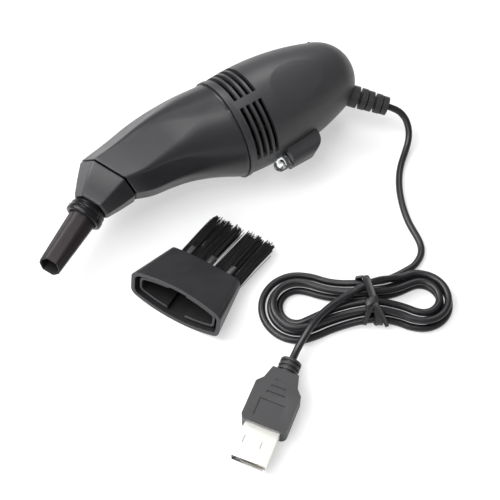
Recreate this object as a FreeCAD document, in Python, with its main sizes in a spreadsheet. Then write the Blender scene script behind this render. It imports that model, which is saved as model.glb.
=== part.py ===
import FreeCAD, Part
import Sketcher
import math
import os
import re

from FreeCAD import Placement, Rotation, Vector

# Desktop mini vacuum cleaner with a USB lead, lying on its side, in millimetres.
# X runs along the motor from the nozzle end to the rear, Y points to the convex
# back of the body, Z is up. The origin is the flat that the housing rests on.

doc = FreeCAD.newDocument("desk_vacuum")

# Driving sizes

SIZES = [
    # How the body lies
    ("roll_angle", 18.0), ("rest_flat_depth", 0.5),
    # Rear housing, turned about the motor axis and split along the bend plane
    ("body_radius", 19.8), ("crown_x", -8.0), ("dome_radius", 15.0), ("rear_x", 36.6),
    ("seam_x", -22.1), ("wall", 1.6), ("seam_gap", 0.4),
    ("seat_gap", 0.1), ("move_gap", 0.3), ("overrun", 4.0),
    ("band_width", 1.5), ("band_height", 0.65),
    # Vent slots beside the plain band
    ("vent_first_x", -18.4), ("vent_pitch", 2.55), ("vent_width", 1.6), ("vent_count", 4.0),
    ("vent_band", 3.4), ("vent_edge", 6.6),
    # Shallow oval thumb recess on the upper half, cut along a wide flatter bar
    ("thumb_x", 6.9), ("thumb_depth", 0.6), ("thumb_bar_radius", 30.0), ("thumb_turn", 3.7),
    # Fixing screws between the halves
    ("boss_radius", 2.5), ("screw_radius", 1.0), ("screw_head_radius", 1.8),
    ("screw_head_height", 1.3), ("screw_length", 9.0), ("side_boss_x", 2.5),
    ("side_boss_inset", 6.6), ("rear_boss_x", 30.0), ("rear_boss_y", 0.0),
    ("screw_seat", 6.0), ("screw_slot", 0.5), ("screw_slot_depth", 0.65),
    # Bulkhead between the dust chamber and the fan
    ("disc_thickness", 1.6), ("disc_x", -21.5), ("spigot_length", 6.4), ("spigot_wall", 1.4),
    ("spigot_step", 3.6),
    ("inlet_hole_radius", 2.0), ("inlet_ring_radius", 5.2), ("inlet_holes", 6.0),
    # Filter in its socket
    ("filter_radius", 10.2), ("filter_wall", 1.4), ("filter_depth", 3.6), ("filter_flange", 0.9),
    ("filter_flange_thickness", 1.2), ("socket_wall", 1.3), ("bag_length", 14.0),
    ("bag_tip_radius", 5.2), ("bag_thickness", 0.5),
    # Dust chamber from the seam to the neck
    ("neck_x", -68.7), ("neck_y", 3.4), ("neck_radius", 11.4), ("nozzle_bend", 27.5),
    ("chamber_wall", 1.6), ("neck_gap", 0.55), ("facet_skew", 13.5),
    # Faceted nose cone, collar ring and crevice tube
    ("cone_length", 12.4), ("cone_tip_radius", 6.7), ("cone_wall", 1.5), ("cone_spigot", 3.0),
    ("collar_gap", 0.9), ("collar_bevel", 0.5), ("collar_length", 4.4), ("collar_radius", 6.9),
    ("collar_neck_radius", 5.7), ("collar_stem", 5.0), ("tube_root_radius", 5.1),
    ("tube_tip_radius", 4.1), ("tube_tip_squash", 0.78), ("tube_wall", 0.75),
    ("tube_reach", 39.8), ("tube_insert", 3.6), ("tube_fit", 0.25),
    # Motor
    ("motor_x", -5.0), ("motor_length", 25.0), ("motor_radius", 10.2), ("motor_flat", 7.7),
    ("can_wall", 0.9), ("bell_thickness", 2.4), ("bearing_boss_radius", 3.2),
    ("bearing_boss_length", 1.8), ("shaft_radius", 1.0), ("shaft_front_x", -17.6),
    ("shaft_fit", 0.05), ("bush_radius", 2.3), ("magnet_thickness", 2.4), ("air_gap", 0.5),
    ("core_length", 8.0), ("coil_overhang", 1.8), ("pole_count", 5.0),
    ("core_slot_width", 2.0), ("coil_inset", 0.6), ("core_hub", 2.6), ("commutator_radius", 2.6),
    ("commutator_length", 3.0), ("carbon_length", 2.2), ("carbon_width", 2.0),
    ("terminal_width", 2.4), ("terminal_thickness", 0.5), ("terminal_length", 3.0),
    ("terminal_spread", 4.6), ("mount_thickness", 1.5), ("motor_screw_pitch", 6.4),
    ("mount_screw_radius", 0.8), ("mount_head", 0.7), ("mount_relief_radius", 1.6),
    ("mount_relief_shift", 0.4), ("mount_head_radius", 1.44),
    ("cradle_thickness", 1.6), ("cradle_x", 13.0),
    # Fan
    ("fan_clearance", 2.8), ("fan_back_x", -8.9), ("fan_depth", 6.6), ("fan_disc", 1.0),
    ("fan_hub_radius", 3.4), ("fan_nose_radius", 2.3), ("blade_thickness", 1.0), ("blade_count", 9.0),
    ("blade_root", 1.2),
    # Slide switch on the convex back
    ("switch_angle", 60.0), ("switch_top", 11.7), ("switch_length", 9.4), ("switch_width", 4.4),
    ("switch_height", 3.4), ("switch_lip", 0.8), ("switch_lip_width", 2.2),
    ("knob_length", 5.4), ("knob_width", 3.0),
    ("knob_rise", 1.4), ("knob_groove", 0.4), ("knob_groove_pitch", 1.4),
    ("switch_travel", 2.5), ("pin_length", 2.0), ("pin_radius", 0.35), ("pin_pitch", 2.0),
    ("pin_shift", 0.4),
    # Lamp pod on the belly
    ("pod_front_x", -6.3), ("pod_length", 14.4), ("pod_width", 10.4), ("pod_rise", 5.3),
    ("pod_round", 3.2), ("pod_tail_round", 6.0), ("pod_wall", 1.3), ("pod_tail_wall", 2.5),
    ("lamp_rise", 2.5), ("lamp_radius", 2.5),
    ("lamp_length", 5.4), ("lamp_flange_radius", 2.9), ("lamp_flange", 1.0),
    ("lamp_gap", 0.2), ("lead_radius", 0.3), ("lead_pitch", 2.54), ("lead_length", 5.0),
    ("resistor_radius", 0.9), ("resistor_length", 3.0), ("resistor_lead", 1.7), ("lamp_wire_x", 4.2),
    ("lamp_hole_radius", 1.2),
    # Strain relief of the lead
    ("boot_x", 31.3), ("boot_y", -12.3), ("boot_angle", 46.0),
    ("boot_root_radius", 4.3), ("boot_tip_radius", 3.5), ("boot_neck_radius", 3.2),
    ("boot_disc", 1.7), ("boot_sink", 2.2), ("boot_core_radius", 2.5), ("boot_gap", 1.1),
    ("boot_slit", 0.45), ("boot_rib", 2.25), ("boot_pairs", 2.0),
    ("boot_flange_radius", 4.4), ("boot_flange", 1.5), ("boot_grip", 4.0),
    ("entry_length", 3.5), ("bare_wire", 1.7), ("core_wire_radius", 0.6),
    # Lead, its hank and its tie
    ("cord_radius", 1.3), ("hank_pitch", 3.15), ("hank_x", -14.6), ("hank_y", -82.7),
    ("hank_angle", -30.85), ("waist_half", 8.2), ("left_lobe_x", 25.2), ("left_lobe", 13.8),
    ("right_lobe_x", 18.2), ("right_lobe", 12.6), ("tie_lift", 1.5), ("tie_spread", 7.0),
    ("tie_width", 2.4), ("tie_thickness", 1.1), ("tie_slack", 0.35), ("knot_radius", 2.2),
    ("hank_peak", 2.375), ("hank_climb", 0.19), ("hank_start", -0.125), ("hank_end", 3.86),
    ("first_run", 4.0), ("route_run", 4.26), ("tail_run", 4.4), ("tail_lead", 3.4),
    ("hank_lead", 2.6), ("knot_shift", 3.0), ("knot_rise", 0.44), ("tie_end_radius", 0.55),
    ("tie_end_left", -7.0), ("tie_end_right", 4.0),
    # USB plug
    ("plug_x", -73.2), ("plug_y", -100.8), ("plug_angle", 33.4), ("plug_width", 15.9),
    ("plug_height", 8.0), ("plug_body", 14.0), ("plug_taper", 7.0), ("plug_top_width", 9.3),
    ("plug_round", 2.0), ("plug_neck", 5.2), ("plug_neck_width", 7.4),
    ("shell_width", 12.0), ("shell_height", 4.5), ("shell_length", 12.0), ("shell_insert", 6.7),
    ("shell_metal", 0.3), ("shell_hole", 2.4), ("shell_hole_pitch", 6.0), ("shell_hole_set", 5.2),
    ("tongue_height", 1.8), ("contact_width", 1.0), ("contact_thickness", 0.2),
    ("contact_length", 7.0), ("contact_pitch", 2.2), ("contact_count", 4.0), ("tongue_set", 0.6),
    ("tongue_root", 1.0),
    ("panel_depth", 0.35), ("panel_x", 2.5), ("waist_x", 2.3), ("waist_width", 11.9), ("neck_rings", 3.0),
    ("neck_groove", 0.7), ("ridge_x", 11.3), ("ridge_width", 6.4), ("ridge_narrow", 1.3),
    ("ridge_count", 3.0), ("panel_length", 6.4), ("panel_width", 8.8), ("ridge_height", 0.35), ("ridge_pitch", 2.4),
    # Brush head
    ("brush_x", -73.3), ("brush_y", -47.5), ("brush_angle", 25.5),
    ("mouth_width", 36.4), ("mouth_height", 17.6), ("mouth_end", 10.4), ("brush_length", 20.0),
    ("back_width", 29.2), ("back_height", 8.4), ("back_end", 6.6), ("brush_wall", 1.5),
    ("back_wall", 4.0), ("rib_inset", 2.6), ("rib_wall", 0.9), ("rib_set", 1.2), ("head_round", 3.5),
    ("rib_gap", 7.0), ("tuft_count", 6.0), ("tuft_pitch", 4.05), ("tuft_first", -9.1), ("tuft_length", 21.5),
    ("tuft_turn", -7.2),
    ("tuft_width", 3.7), ("tuft_height", 3.6), ("tuft_split", 0.9), ("socket_depth", 2.4),
]

sheet = doc.addObject("Spreadsheet::Sheet", "Sizes")
for row, (alias, value) in enumerate(SIZES, start=1):
    sheet.set("A%d" % row, "'" + alias)
    sheet.set("B%d" % row, str(value))
    sheet.setAlias("B%d" % row, alias)
doc.recompute()


class Values:
    """Reads a driving size from the sheet by its alias."""

    def __getattr__(self, alias):
        return float(getattr(sheet, alias))


v = Values()
ALIAS = re.compile(r"\b(" + "|".join(alias for alias, _ in SIZES) + r")\b")


def bound(formula):
    """Points the aliases of a formula at the sheet."""
    return ALIAS.sub(r"Sizes.\1", formula)


def number(formula):
    """Value of a formula with the present sizes."""
    return float(sheet.evalExpression(bound(formula)))


RIGHT_ANGLE = 90.0
NODES = {}
AXIS_TURNS = {
    "x": Rotation(Vector(0, 1, 0), RIGHT_ANGLE),
    "y": Rotation(Vector(1, 0, 0), -RIGHT_ANGLE),
    "z": Rotation(),
}


def bind(obj, **formulas):
    """Drives properties of an object from the sheet."""
    for prop, formula in formulas.items():
        obj.setExpression(prop.replace("__", "."), bound(formula))
    return obj


def place(obj, x="0", y="0", z="0", about=None, angle="0"):
    """Places an object at a point and turns it about one axis."""
    if about is not None:
        obj.Placement = Placement(Vector(), Rotation(about, number(angle)))
        bind(obj, Placement__Rotation__Angle=angle)
    return bind(obj, Placement__Base__x=x, Placement__Base__y=y, Placement__Base__z=z)


X_AXIS = Vector(1, 0, 0)
Z_AXIS = Vector(0, 0, 1)
LIE_HEIGHT = "(body_radius - rest_flat_depth)"


def lay(obj):
    """Rolls a piece of the vacuum onto its rest flat."""
    return place(obj, z=LIE_HEIGHT, about=X_AXIS, angle="roll_angle")


def node(obj, label):
    """Registers a finished sub-part under its name."""
    obj.Label = label
    NODES[label] = obj
    return obj


def box(name, x, y, z, length, width, height):
    """Block from its low corner."""
    block = doc.addObject("Part::Box", name)
    bind(block, Length=length, Width=width, Height=height)
    return place(block, x, y, z)


def rod(name, axis, radius, length, x="0", y="0", z="0"):
    """Cylinder along a main axis from a base point."""
    bar = doc.addObject("Part::Cylinder", name)
    bar.Placement = Placement(Vector(), AXIS_TURNS[axis])
    bind(bar, Radius=radius, Height=length)
    return bind(bar, Placement__Base__x=x, Placement__Base__y=y, Placement__Base__z=z)


def fuse(name, *pieces):
    """Union of pieces."""
    union = doc.addObject("Part::MultiFuse", name)
    union.Shapes = list(pieces)
    union.Refine = True
    return union


def held(name, piece):
    """Piece kept as it is inside a placement of its own."""
    holder = doc.addObject("Part::Compound", name)
    holder.Links = [piece]
    return holder


def common(name, *pieces):
    """Shared volume of pieces."""
    shared = doc.addObject("Part::MultiCommon", name)
    shared.Shapes = list(pieces)
    return shared


def cut(name, base, *tools):
    """Base with the tools taken away."""
    rest = doc.addObject("Part::Cut", name)
    rest.Base = base
    rest.Tool = tools[0] if len(tools) == 1 else fuse(name + "_tools", *tools)
    rest.Refine = True
    return rest


def origin_plane(body, role):
    """Origin plane of a body by its role."""
    return next(item for item in body.Origin.OriginFeatures if item.Role == role)


def draw(body, name, role, points):
    """Closed sketch through points; a point with a centre starts a clockwise arc.

    Each point is (x, y) or (x, y, centre_x, centre_y, radius), all formulas.
    """
    sketch = body.newObject("Sketcher::SketchObject", name)
    sketch.AttachmentSupport = (origin_plane(body, role), [""])
    sketch.MapMode = "FlatFace"
    spots = [Vector(number(point[0]), number(point[1]), 0) for point in points]
    joints = []
    for index, point in enumerate(points):
        start = spots[index]
        end = spots[(index + 1) % len(spots)]
        if len(point) == 2:
            edge = sketch.addGeometry(Part.LineSegment(start, end), False)
            joints.append((edge, 1, 2))
            continue
        centre = Vector(number(point[2]), number(point[3]), 0)
        circle = Part.Circle(centre, Z_AXIS, number(point[4]))
        first = math.atan2(end.y - centre.y, end.x - centre.x)
        last = math.atan2(start.y - centre.y, start.x - centre.x)
        edge = sketch.addGeometry(Part.ArcOfCircle(circle, first, last), False)
        joints.append((edge, 2, 1))
    for index, (edge, start, end) in enumerate(joints):
        following = joints[(index + 1) % len(joints)]
        sketch.addConstraint(Sketcher.Constraint("Coincident", edge, end, following[0], following[1]))
    for (edge, start, end), spot, point in zip(joints, spots, points):
        for kind, value, formula in (("DistanceX", spot.x, point[0]), ("DistanceY", spot.y, point[1])):
            added = sketch.addConstraint(Sketcher.Constraint(kind, -1, 1, edge, start, value))
            sketch.setExpression("Constraints[%d]" % added, bound(formula))
        if len(point) > 2:
            added = sketch.addConstraint(Sketcher.Constraint("Radius", edge, number(point[4])))
            sketch.setExpression("Constraints[%d]" % added, bound(point[4]))
    return sketch


def turned(name, points):
    """Body turned about the X axis from a profile in the bend plane."""
    body = doc.addObject("PartDesign::Body", name)
    sketch = draw(body, name + "_profile", "XY_Plane", points)
    doc.recompute()
    turn = body.newObject("PartDesign::Revolution", name + "_turn")
    turn.Profile = sketch
    turn.ReferenceAxis = (sketch, ["H_Axis"])
    turn.Angle = 360.0
    body.Tip = turn
    doc.recompute()
    return body


def prism(name, role, points, height):
    """Body padded evenly to both sides of an origin plane."""
    body = doc.addObject("PartDesign::Body", name)
    sketch = draw(body, name + "_outline", role, points)
    doc.recompute()
    pad = body.newObject("PartDesign::Pad", name + "_pad")
    pad.Profile = sketch
    pad.SideType = "Symmetric"
    bind(pad, Length=height)
    body.Tip = pad
    doc.recompute()
    return body


def stepped(stages):
    """Profile of a turned bar with a bore from (start, end, outer, inner) stages."""
    top = []
    bottom = []
    for start, end, outer, inner in stages:
        top += [(start, outer), (end, outer)]
        bottom = [(end, inner), (start, inner)] + bottom
    points = top + bottom
    kept = [point for index, point in enumerate(points) if point != points[index - 1]]
    return kept


# Housing: outer and inner turned solids, then the fittings of the shell

ARC = ("(((rear_x - dome_radius - crown_x)^2 + body_radius^2 - dome_radius^2)"
       "/ (2 * (body_radius - dome_radius)))")


def shell_points(inset, front="seam_x"):
    """Half profile of the rear housing, moved inwards by an inset."""
    dome_x = "(rear_x - dome_radius)"
    arc = "(%s - (%s))" % (ARC, inset)
    dome = "(dome_radius - (%s))" % inset
    span = "(%s - dome_radius)" % ARC
    drop = "(body_radius - %s)" % ARC
    front_y = "sqrt(%s^2 - (%s - crown_x)^2) + %s" % (arc, front, drop)
    meet_x = "%s + %s * (%s - crown_x) / %s" % (dome_x, dome, dome_x, span)
    meet_y = "%s * (%s - body_radius) / %s" % (dome, ARC, span)
    return [
        (front, "0"),
        (front, front_y, "crown_x", drop, arc),
        (meet_x, meet_y, dome_x, "0", dome),
        ("rear_x - (%s)" % inset, "0"),
    ]


SEAM_RADIUS = "(sqrt(%s^2 - (seam_x - crown_x)^2) + body_radius - %s)" % (ARC, ARC)
REACH = "(body_radius + overrun)"
CLEAR = "(rear_x + body_radius + overrun)"
SPIGOT = "(%s - spigot_step)" % SEAM_RADIUS

skin = turned("housing_skin", shell_points("0"))
hollow = turned("housing_hollow", shell_points("wall"))
band = rod("housing_band", "x", SEAM_RADIUS + " + band_height", "band_width", "seam_x")
THUMB_TILT = "asin((thumb_x - crown_x) / %s)" % ARC
THUMB_TOP = "(sqrt(%s^2 - (thumb_x - crown_x)^2) + body_radius - %s)" % (ARC, ARC)
BAR_DROP = "(thumb_depth + thumb_bar_radius)"
thumb_bar = doc.addObject("Part::Cylinder", "thumb_bar")
bind(thumb_bar, Radius="thumb_bar_radius", Height="2 * " + REACH)
place(thumb_bar, "thumb_x - %s * sin(%s) - %s * cos(%s)" % (BAR_DROP, THUMB_TILT, REACH, THUMB_TILT), "0",
      "%s - %s * cos(%s) + %s * sin(%s)" % (THUMB_TOP, BAR_DROP, THUMB_TILT, REACH, THUMB_TILT),
      Vector(0, 1, 0), "90 deg + " + THUMB_TILT)
thumb_block = box("thumb_block", "thumb_x - " + REACH + " / 2", "-" + REACH, "body_radius / 2", REACH,
                  "2 * " + REACH, "body_radius")
thumb = place(held("thumb_turned", cut("thumb_cutter", thumb_block, thumb_bar)), about=X_AXIS,
              angle="thumb_turn")

comb = []
for slot in range(int(v.vent_count)):
    start = "vent_first_x + %d * vent_pitch - vent_width / 2" % slot
    comb.append(rod("vent_disc_%d" % (slot + 1), "x", REACH, "vent_width", start))
vent_bars = [
    box("vent_band_bar", "seam_x", "-vent_band / 2", "-" + REACH, "body_radius", "vent_band",
        "2 * " + REACH),
    box("vent_edge_bar", "seam_x", "-" + REACH, "-vent_edge", "body_radius", "2 * " + REACH,
        "2 * vent_edge"),
]
vents = cut("vent_cutter", fuse("vent_comb", *comb), *vent_bars)

SIDE_BOSS_Y = "(body_radius - side_boss_inset)"
BOSSES = [("side_boss_x", SIDE_BOSS_Y), ("side_boss_x", "-" + SIDE_BOSS_Y),
          ("rear_boss_x", "rear_boss_y")]
fittings = []
screw_bores = []
screws = []
for count, (boss_x, boss_y) in enumerate(BOSSES, start=1):
    fittings.append(rod("boss_%d" % count, "z", "boss_radius", "2 * " + REACH, boss_x, boss_y,
                        "-" + REACH))
    screw_bores.append(rod("screw_bore_%d" % count, "z", "screw_radius", "screw_length", boss_x,
                           boss_y, "-screw_seat"))
    screw_bores.append(rod("screw_well_%d" % count, "z", "screw_head_radius + seat_gap", REACH,
                           boss_x, boss_y, "-screw_seat - " + REACH))
    shank = rod("screw_shank_%d" % count, "z", "screw_radius", "screw_length", boss_x, boss_y,
                "-screw_seat")
    head = rod("screw_head_%d" % count, "z", "screw_head_radius", "screw_head_height", boss_x,
               boss_y, "-screw_seat - screw_head_height")
    slot_cut = box("screw_slot_%d" % count, boss_x + " - screw_slot / 2",
                   boss_y + " - screw_head_radius", "-screw_seat - screw_head_height",
                   "screw_slot", "2 * screw_head_radius", "screw_slot_depth")
    screws.append(cut("screw_%d" % count, fuse("screw_blank_%d" % count, shank, head), slot_cut))
cradle_disc = rod("cradle_disc", "x", REACH, "cradle_thickness", "cradle_x")
cradle_round = rod("cradle_round", "x", "motor_radius", "cradle_thickness", "cradle_x")
cradle_block = box("cradle_block", "cradle_x", "-motor_flat", "-motor_radius",
                   "cradle_thickness", "2 * motor_flat", "2 * motor_radius")
cradle_hole = common("cradle_hole", cradle_round, cradle_block)
fittings.append(cut("cradle", cradle_disc, cradle_hole))
inner = common("housing_inner", fuse("housing_fittings", *fittings), hollow)

shell = cut("housing_shell", fuse("housing_outer", skin, band), hollow, vents, thumb)
filled = fuse("housing_filled", shell, inner)


def slanted_box(name, origin, angle, corner, sizes):
    """Block turned in the bend plane, from its corner in the turned frame."""
    along, across, up = corner
    block = doc.addObject("Part::Box", name)
    bind(block, Length=sizes[0], Width=sizes[1], Height=sizes[2])
    x = "%s + (%s) * cos(%s) - (%s) * sin(%s)" % (origin[0], along, angle, across, angle)
    y = "%s + (%s) * sin(%s) + (%s) * cos(%s)" % (origin[1], along, angle, across, angle)
    return place(block, x, y, up, Z_AXIS, angle)


DOME_CENTRE = ("rear_x - dome_radius", "0")
SWITCH = (DOME_CENTRE, "switch_angle")
SLOT_LENGTH = "(knob_length + switch_travel + 2 * move_gap)"
switch_slot = slanted_box("switch_slot", *SWITCH,
                          ("switch_top", "-knob_length / 2 - move_gap", "-knob_width / 2 - move_gap"),
                          (REACH, SLOT_LENGTH, "knob_width + 2 * move_gap"))
boot_hole = place(turned("boot_hole", [("-overrun - boot_flange", "0"),
                                       ("-overrun - boot_flange", "boot_neck_radius"),
                                       ("overrun", "boot_neck_radius"), ("overrun", "0")]),
                  "boot_x", "boot_y", about=Z_AXIS, angle="-boot_angle")
lamp_hole = rod("lamp_wire_hole", "y", "lamp_hole_radius", "overrun", "lamp_wire_x",
                "-body_radius - lamp_gap")
openings = fuse("housing_openings", switch_slot, boot_hole, lamp_hole, *screw_bores)
holed = cut("housing_holed", filled, openings)
upper_space = box("upper_space", "seam_x - overrun", "-" + REACH, "0", "2 * rear_x", "2 * " + REACH,
                  REACH)
lower_space = box("lower_space", "seam_x - overrun", "-" + REACH, "-" + REACH, "2 * rear_x",
                  "2 * " + REACH, REACH)
node(lay(common("upper_half", holed, upper_space)), "housing_upper")
lower_half = lay(common("lower_half", holed, lower_space))
floor = box("floor_block", "-" + CLEAR, "-" + CLEAR, "-overrun", "2 * " + CLEAR, "2 * " + CLEAR,
            "overrun")
node(cut("lower_rested", lower_half, floor), "housing_lower")
node(lay(fuse("screw_set", *screws)), "housing_screws")

# Bulkhead with the spigot of the dust chamber and the filter socket

plate = common("bulkhead_plate", rod("bulkhead_disc", "x", REACH, "disc_thickness", "disc_x"), hollow)
spigot = turned("bulkhead_spigot", stepped([
    ("disc_x - spigot_length", "disc_x", SPIGOT, SPIGOT + " - spigot_wall")]))
SOCKET = "(filter_radius + seat_gap)"
socket = turned("filter_socket", stepped([
    ("disc_x - filter_depth", "disc_x", SOCKET + " + socket_wall", SOCKET)]))
inlets = [rod("inlet_hole_centre", "x", "inlet_hole_radius", "2 * overrun", "disc_x - overrun")]
for hole in range(int(v.inlet_holes)):
    around = "%d * 360 / inlet_holes" % hole
    inlets.append(rod("inlet_hole_%d" % (hole + 1), "x", "inlet_hole_radius", "2 * overrun",
                      "disc_x - overrun", "inlet_ring_radius * cos(%s)" % around,
                      "inlet_ring_radius * sin(%s)" % around))
bulkhead = cut("bulkhead_drilled", fuse("bulkhead_blank", plate, spigot, socket), *inlets)
node(lay(bulkhead), "bulkhead")

# Filter

node(lay(turned("filter_ring", stepped([
    ("disc_x - filter_depth - filter_flange_thickness", "disc_x - filter_depth",
     "filter_radius + filter_flange", "filter_radius - filter_wall"),
    ("disc_x - filter_depth", "disc_x - seat_gap", "filter_radius", "filter_radius - filter_wall"),
]))), "filter_frame")
BAG_X = "(disc_x - filter_depth - filter_flange_thickness)"
node(lay(turned("bag_cloth", [
    ("disc_x - seat_gap", "filter_radius - filter_wall - bag_thickness"),
    (BAG_X + " - bag_length", "bag_tip_radius - bag_thickness"),
    (BAG_X + " - bag_length", "0"),
    (BAG_X + " - bag_length - bag_thickness", "0"),
    (BAG_X + " - bag_length - bag_thickness", "bag_tip_radius"),
    (BAG_X, "filter_radius - filter_wall"),
    ("disc_x - seat_gap", "filter_radius - filter_wall"),
])), "filter_bag")


# Dust chamber: rounded octagons lofted from the seam to the neck

SIDES = 8
EIGHTH = math.pi / SIDES
# Which way each slanted flat leans towards the side flats, so that the top flat is wide
LEANS = [0, -1, 0, 1, 0, -1, 0, 1]


def facing(side):
    """Direction that a flat of the octagon faces, in radians."""
    return 2 * EIGHTH * side + LEANS[side % SIDES] * math.radians(v.facet_skew)


def octagon(half, corner, spot):
    """Octagon round a circle with rounded corners and a wide flat up, across a placement's X axis."""
    edges = []
    for side in range(SIDES):
        turn = facing(side)
        before = (turn - facing(side - 1)) / 2
        after = (facing(side + 1) - turn) / 2
        out = Vector(0, math.cos(turn), math.sin(turn))
        along = Vector(0, -math.sin(turn), math.cos(turn))
        start = out * half - along * ((half - corner) * math.tan(before))
        end = out * half + along * ((half - corner) * math.tan(after))
        edges.append(Part.LineSegment(spot.multVec(start), spot.multVec(end)).toShape())
        diagonal = Vector(0, math.cos(turn + after), math.sin(turn + after))
        middle = diagonal * ((half - corner) / math.cos(after) + corner)
        turned_on = turn + 2 * after
        next_out = Vector(0, math.cos(turned_on), math.sin(turned_on))
        next_along = Vector(0, -math.sin(turned_on), math.cos(turned_on))
        arc_end = next_out * half - next_along * ((half - corner) * math.tan(after))
        arc = Part.Arc(spot.multVec(end), spot.multVec(middle), spot.multVec(arc_end))
        edges.append(arc.toShape())
    return Part.Wire(edges)


def shaped(name, shape):
    """Document object for a shape worked out in code."""
    item = doc.addObject("Part::Feature", name)
    item.Shape = shape
    return item


# Along the chamber, half size, sideways offset, tilt and corner rounding
CHAMBER_SHARES = [
    (0.0, 1.0, 0.0, 0.0, 0.97),
    (0.222, 0.889, 0.14, 0.05, 0.9),
    (0.444, 0.785, 0.214, 0.14, 0.5),
    (0.625, 0.723, 0.215, 0.32, 0.28),
    (0.827, 0.66, 0.175, 0.62, 0.14),
    (1.0, 0.61, 0.19, 1.0, 0.08),
]


def chamber_row(along, seam_radius):
    """Half size, offset, tilt and rounding on a smooth curve through the stations."""
    rows = [(row[0], row[1] * seam_radius, row[2] * seam_radius, row[3], row[4]) for row in CHAMBER_SHARES]
    rows[-1] = (rows[-1][0], v.neck_radius, v.neck_y) + rows[-1][3:]
    index = max(place for place, row in enumerate(rows[:-1]) if row[0] <= along)
    before, low, high, after = (rows[max(index - 1, 0)], rows[index], rows[index + 1],
                                rows[min(index + 2, len(rows) - 1)])
    span = high[0] - low[0]
    share = (along - low[0]) / span
    values = []
    for column in range(1, len(low)):
        leave = (high[column] - before[column]) / (high[0] - before[0]) * span
        arrive = (after[column] - low[column]) / (after[0] - low[0]) * span
        values.append((2 * share ** 3 - 3 * share ** 2 + 1) * low[column]
                      + (share ** 3 - 2 * share ** 2 + share) * leave
                      + (3 * share ** 2 - 2 * share ** 3) * high[column]
                      + (share ** 3 - share ** 2) * arrive)
    return values


CHAMBER_STEPS = 10


def chamber_loft(inset, first):
    """Chamber solid moved inwards, with its own half size at the seam."""
    start_x = v.seam_x - v.seam_gap
    seam_radius = number(SEAM_RADIUS)
    wires = []
    for step in range(CHAMBER_STEPS + 1):
        along = step / CHAMBER_STEPS
        half, y, tilt, rounding = chamber_row(along, seam_radius)
        half = first if step == 0 else half - inset
        spot = Placement(Vector(start_x + along * (v.neck_x - start_x), y, 0),
                         Rotation(Z_AXIS, 2 * RIGHT_ANGLE + tilt * v.nozzle_bend))
        wires.append(octagon(half, rounding * half, spot))
    return Part.makeLoft(wires, True, True)


chamber_outer = shaped("chamber_outer", chamber_loft(0.0, number(SEAM_RADIUS)))
chamber_inner = shaped("chamber_inner", chamber_loft(v.chamber_wall, number(SPIGOT) - v.chamber_wall / 2))
chamber_bore = rod("chamber_bore", "x", SPIGOT + " + seat_gap", "spigot_length",
                   "seam_x - seam_gap - spigot_length")
chamber_bored = cut("chamber_bored", chamber_outer, chamber_bore)
node(lay(cut("chamber_shell", chamber_bored, chamber_inner)), "dust_chamber")

NOZZLE = Placement(Vector(v.neck_x, v.neck_y, 0), Rotation(Z_AXIS, 2 * RIGHT_ANGLE + v.nozzle_bend))


def on_nozzle(obj):
    """Places an object with its X axis out along the nozzle from the neck."""
    return place(obj, "neck_x", "neck_y", about=Z_AXIS, angle="180 + nozzle_bend")


def nozzle_octagon(along, half):
    """Octagon across the nozzle axis."""
    spot = NOZZLE.multiply(Placement(Vector(along, 0, 0), Rotation()))
    return octagon(half, CHAMBER_SHARES[-1][-1] * half, spot)


def nozzle_loft(stations):
    """Solid through octagons at (distance, half size) stations on the nozzle axis."""
    return Part.makeLoft([nozzle_octagon(*station) for station in stations], True, True)


neck_inner = v.neck_radius - v.chamber_wall
cone_skin = nozzle_loft([(v.neck_gap, v.neck_radius), (v.cone_length, v.cone_tip_radius)])
cone_stub = nozzle_loft([(-v.cone_spigot, neck_inner - v.seat_gap), (0.0, neck_inner - v.seat_gap)])
cone_step = nozzle_loft([(0.0, neck_inner - v.seat_gap), (v.neck_gap, neck_inner - v.seat_gap)])
cone_space = nozzle_loft([(-v.cone_spigot, neck_inner - v.cone_wall),
                          (v.neck_gap, neck_inner - v.cone_wall),
                          (v.cone_length - v.collar_stem, v.collar_neck_radius - v.cone_wall / 2)])
stub_seated = common("stub_seated", shaped("cone_stub", cone_stub), chamber_inner)
cone_blank = fuse("cone_blank", shaped("cone_skin", cone_skin), shaped("cone_step", cone_step),
                  stub_seated)
stem_bore = on_nozzle(turned("stem_bore", [
    ("cone_length - collar_stem", "0"), ("cone_length - collar_stem", "collar_neck_radius"),
    ("cone_length + overrun", "collar_neck_radius"), ("cone_length + overrun", "0")]))
node(lay(cut("cone_shell", cone_blank, shaped("cone_space", cone_space), stem_bore)), "nose_cone")

COLLAR_X = "(cone_length + collar_gap)"
TUBE_BORE = "(tube_root_radius + tube_fit)"
collar = on_nozzle(turned("collar_ring", [
    ("cone_length - collar_stem", "tube_root_radius - tube_wall"),
    ("cone_length - collar_stem", "collar_neck_radius"),
    (COLLAR_X, "collar_neck_radius"),
    (COLLAR_X, "collar_radius - collar_bevel"),
    (COLLAR_X + " + collar_bevel", "collar_radius"),
    (COLLAR_X + " + collar_length - collar_bevel", "collar_radius"),
    (COLLAR_X + " + collar_length", "collar_radius - collar_bevel"),
    (COLLAR_X + " + collar_length", TUBE_BORE),
    (COLLAR_X + " + collar_length - tube_insert", TUBE_BORE),
    (COLLAR_X + " + collar_length - tube_insert", "tube_root_radius - tube_wall"),
]))
node(lay(held("collar_laid", collar)), "nozzle_collar")

TUBE_X = "(cone_length + collar_gap + collar_length)"


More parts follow.
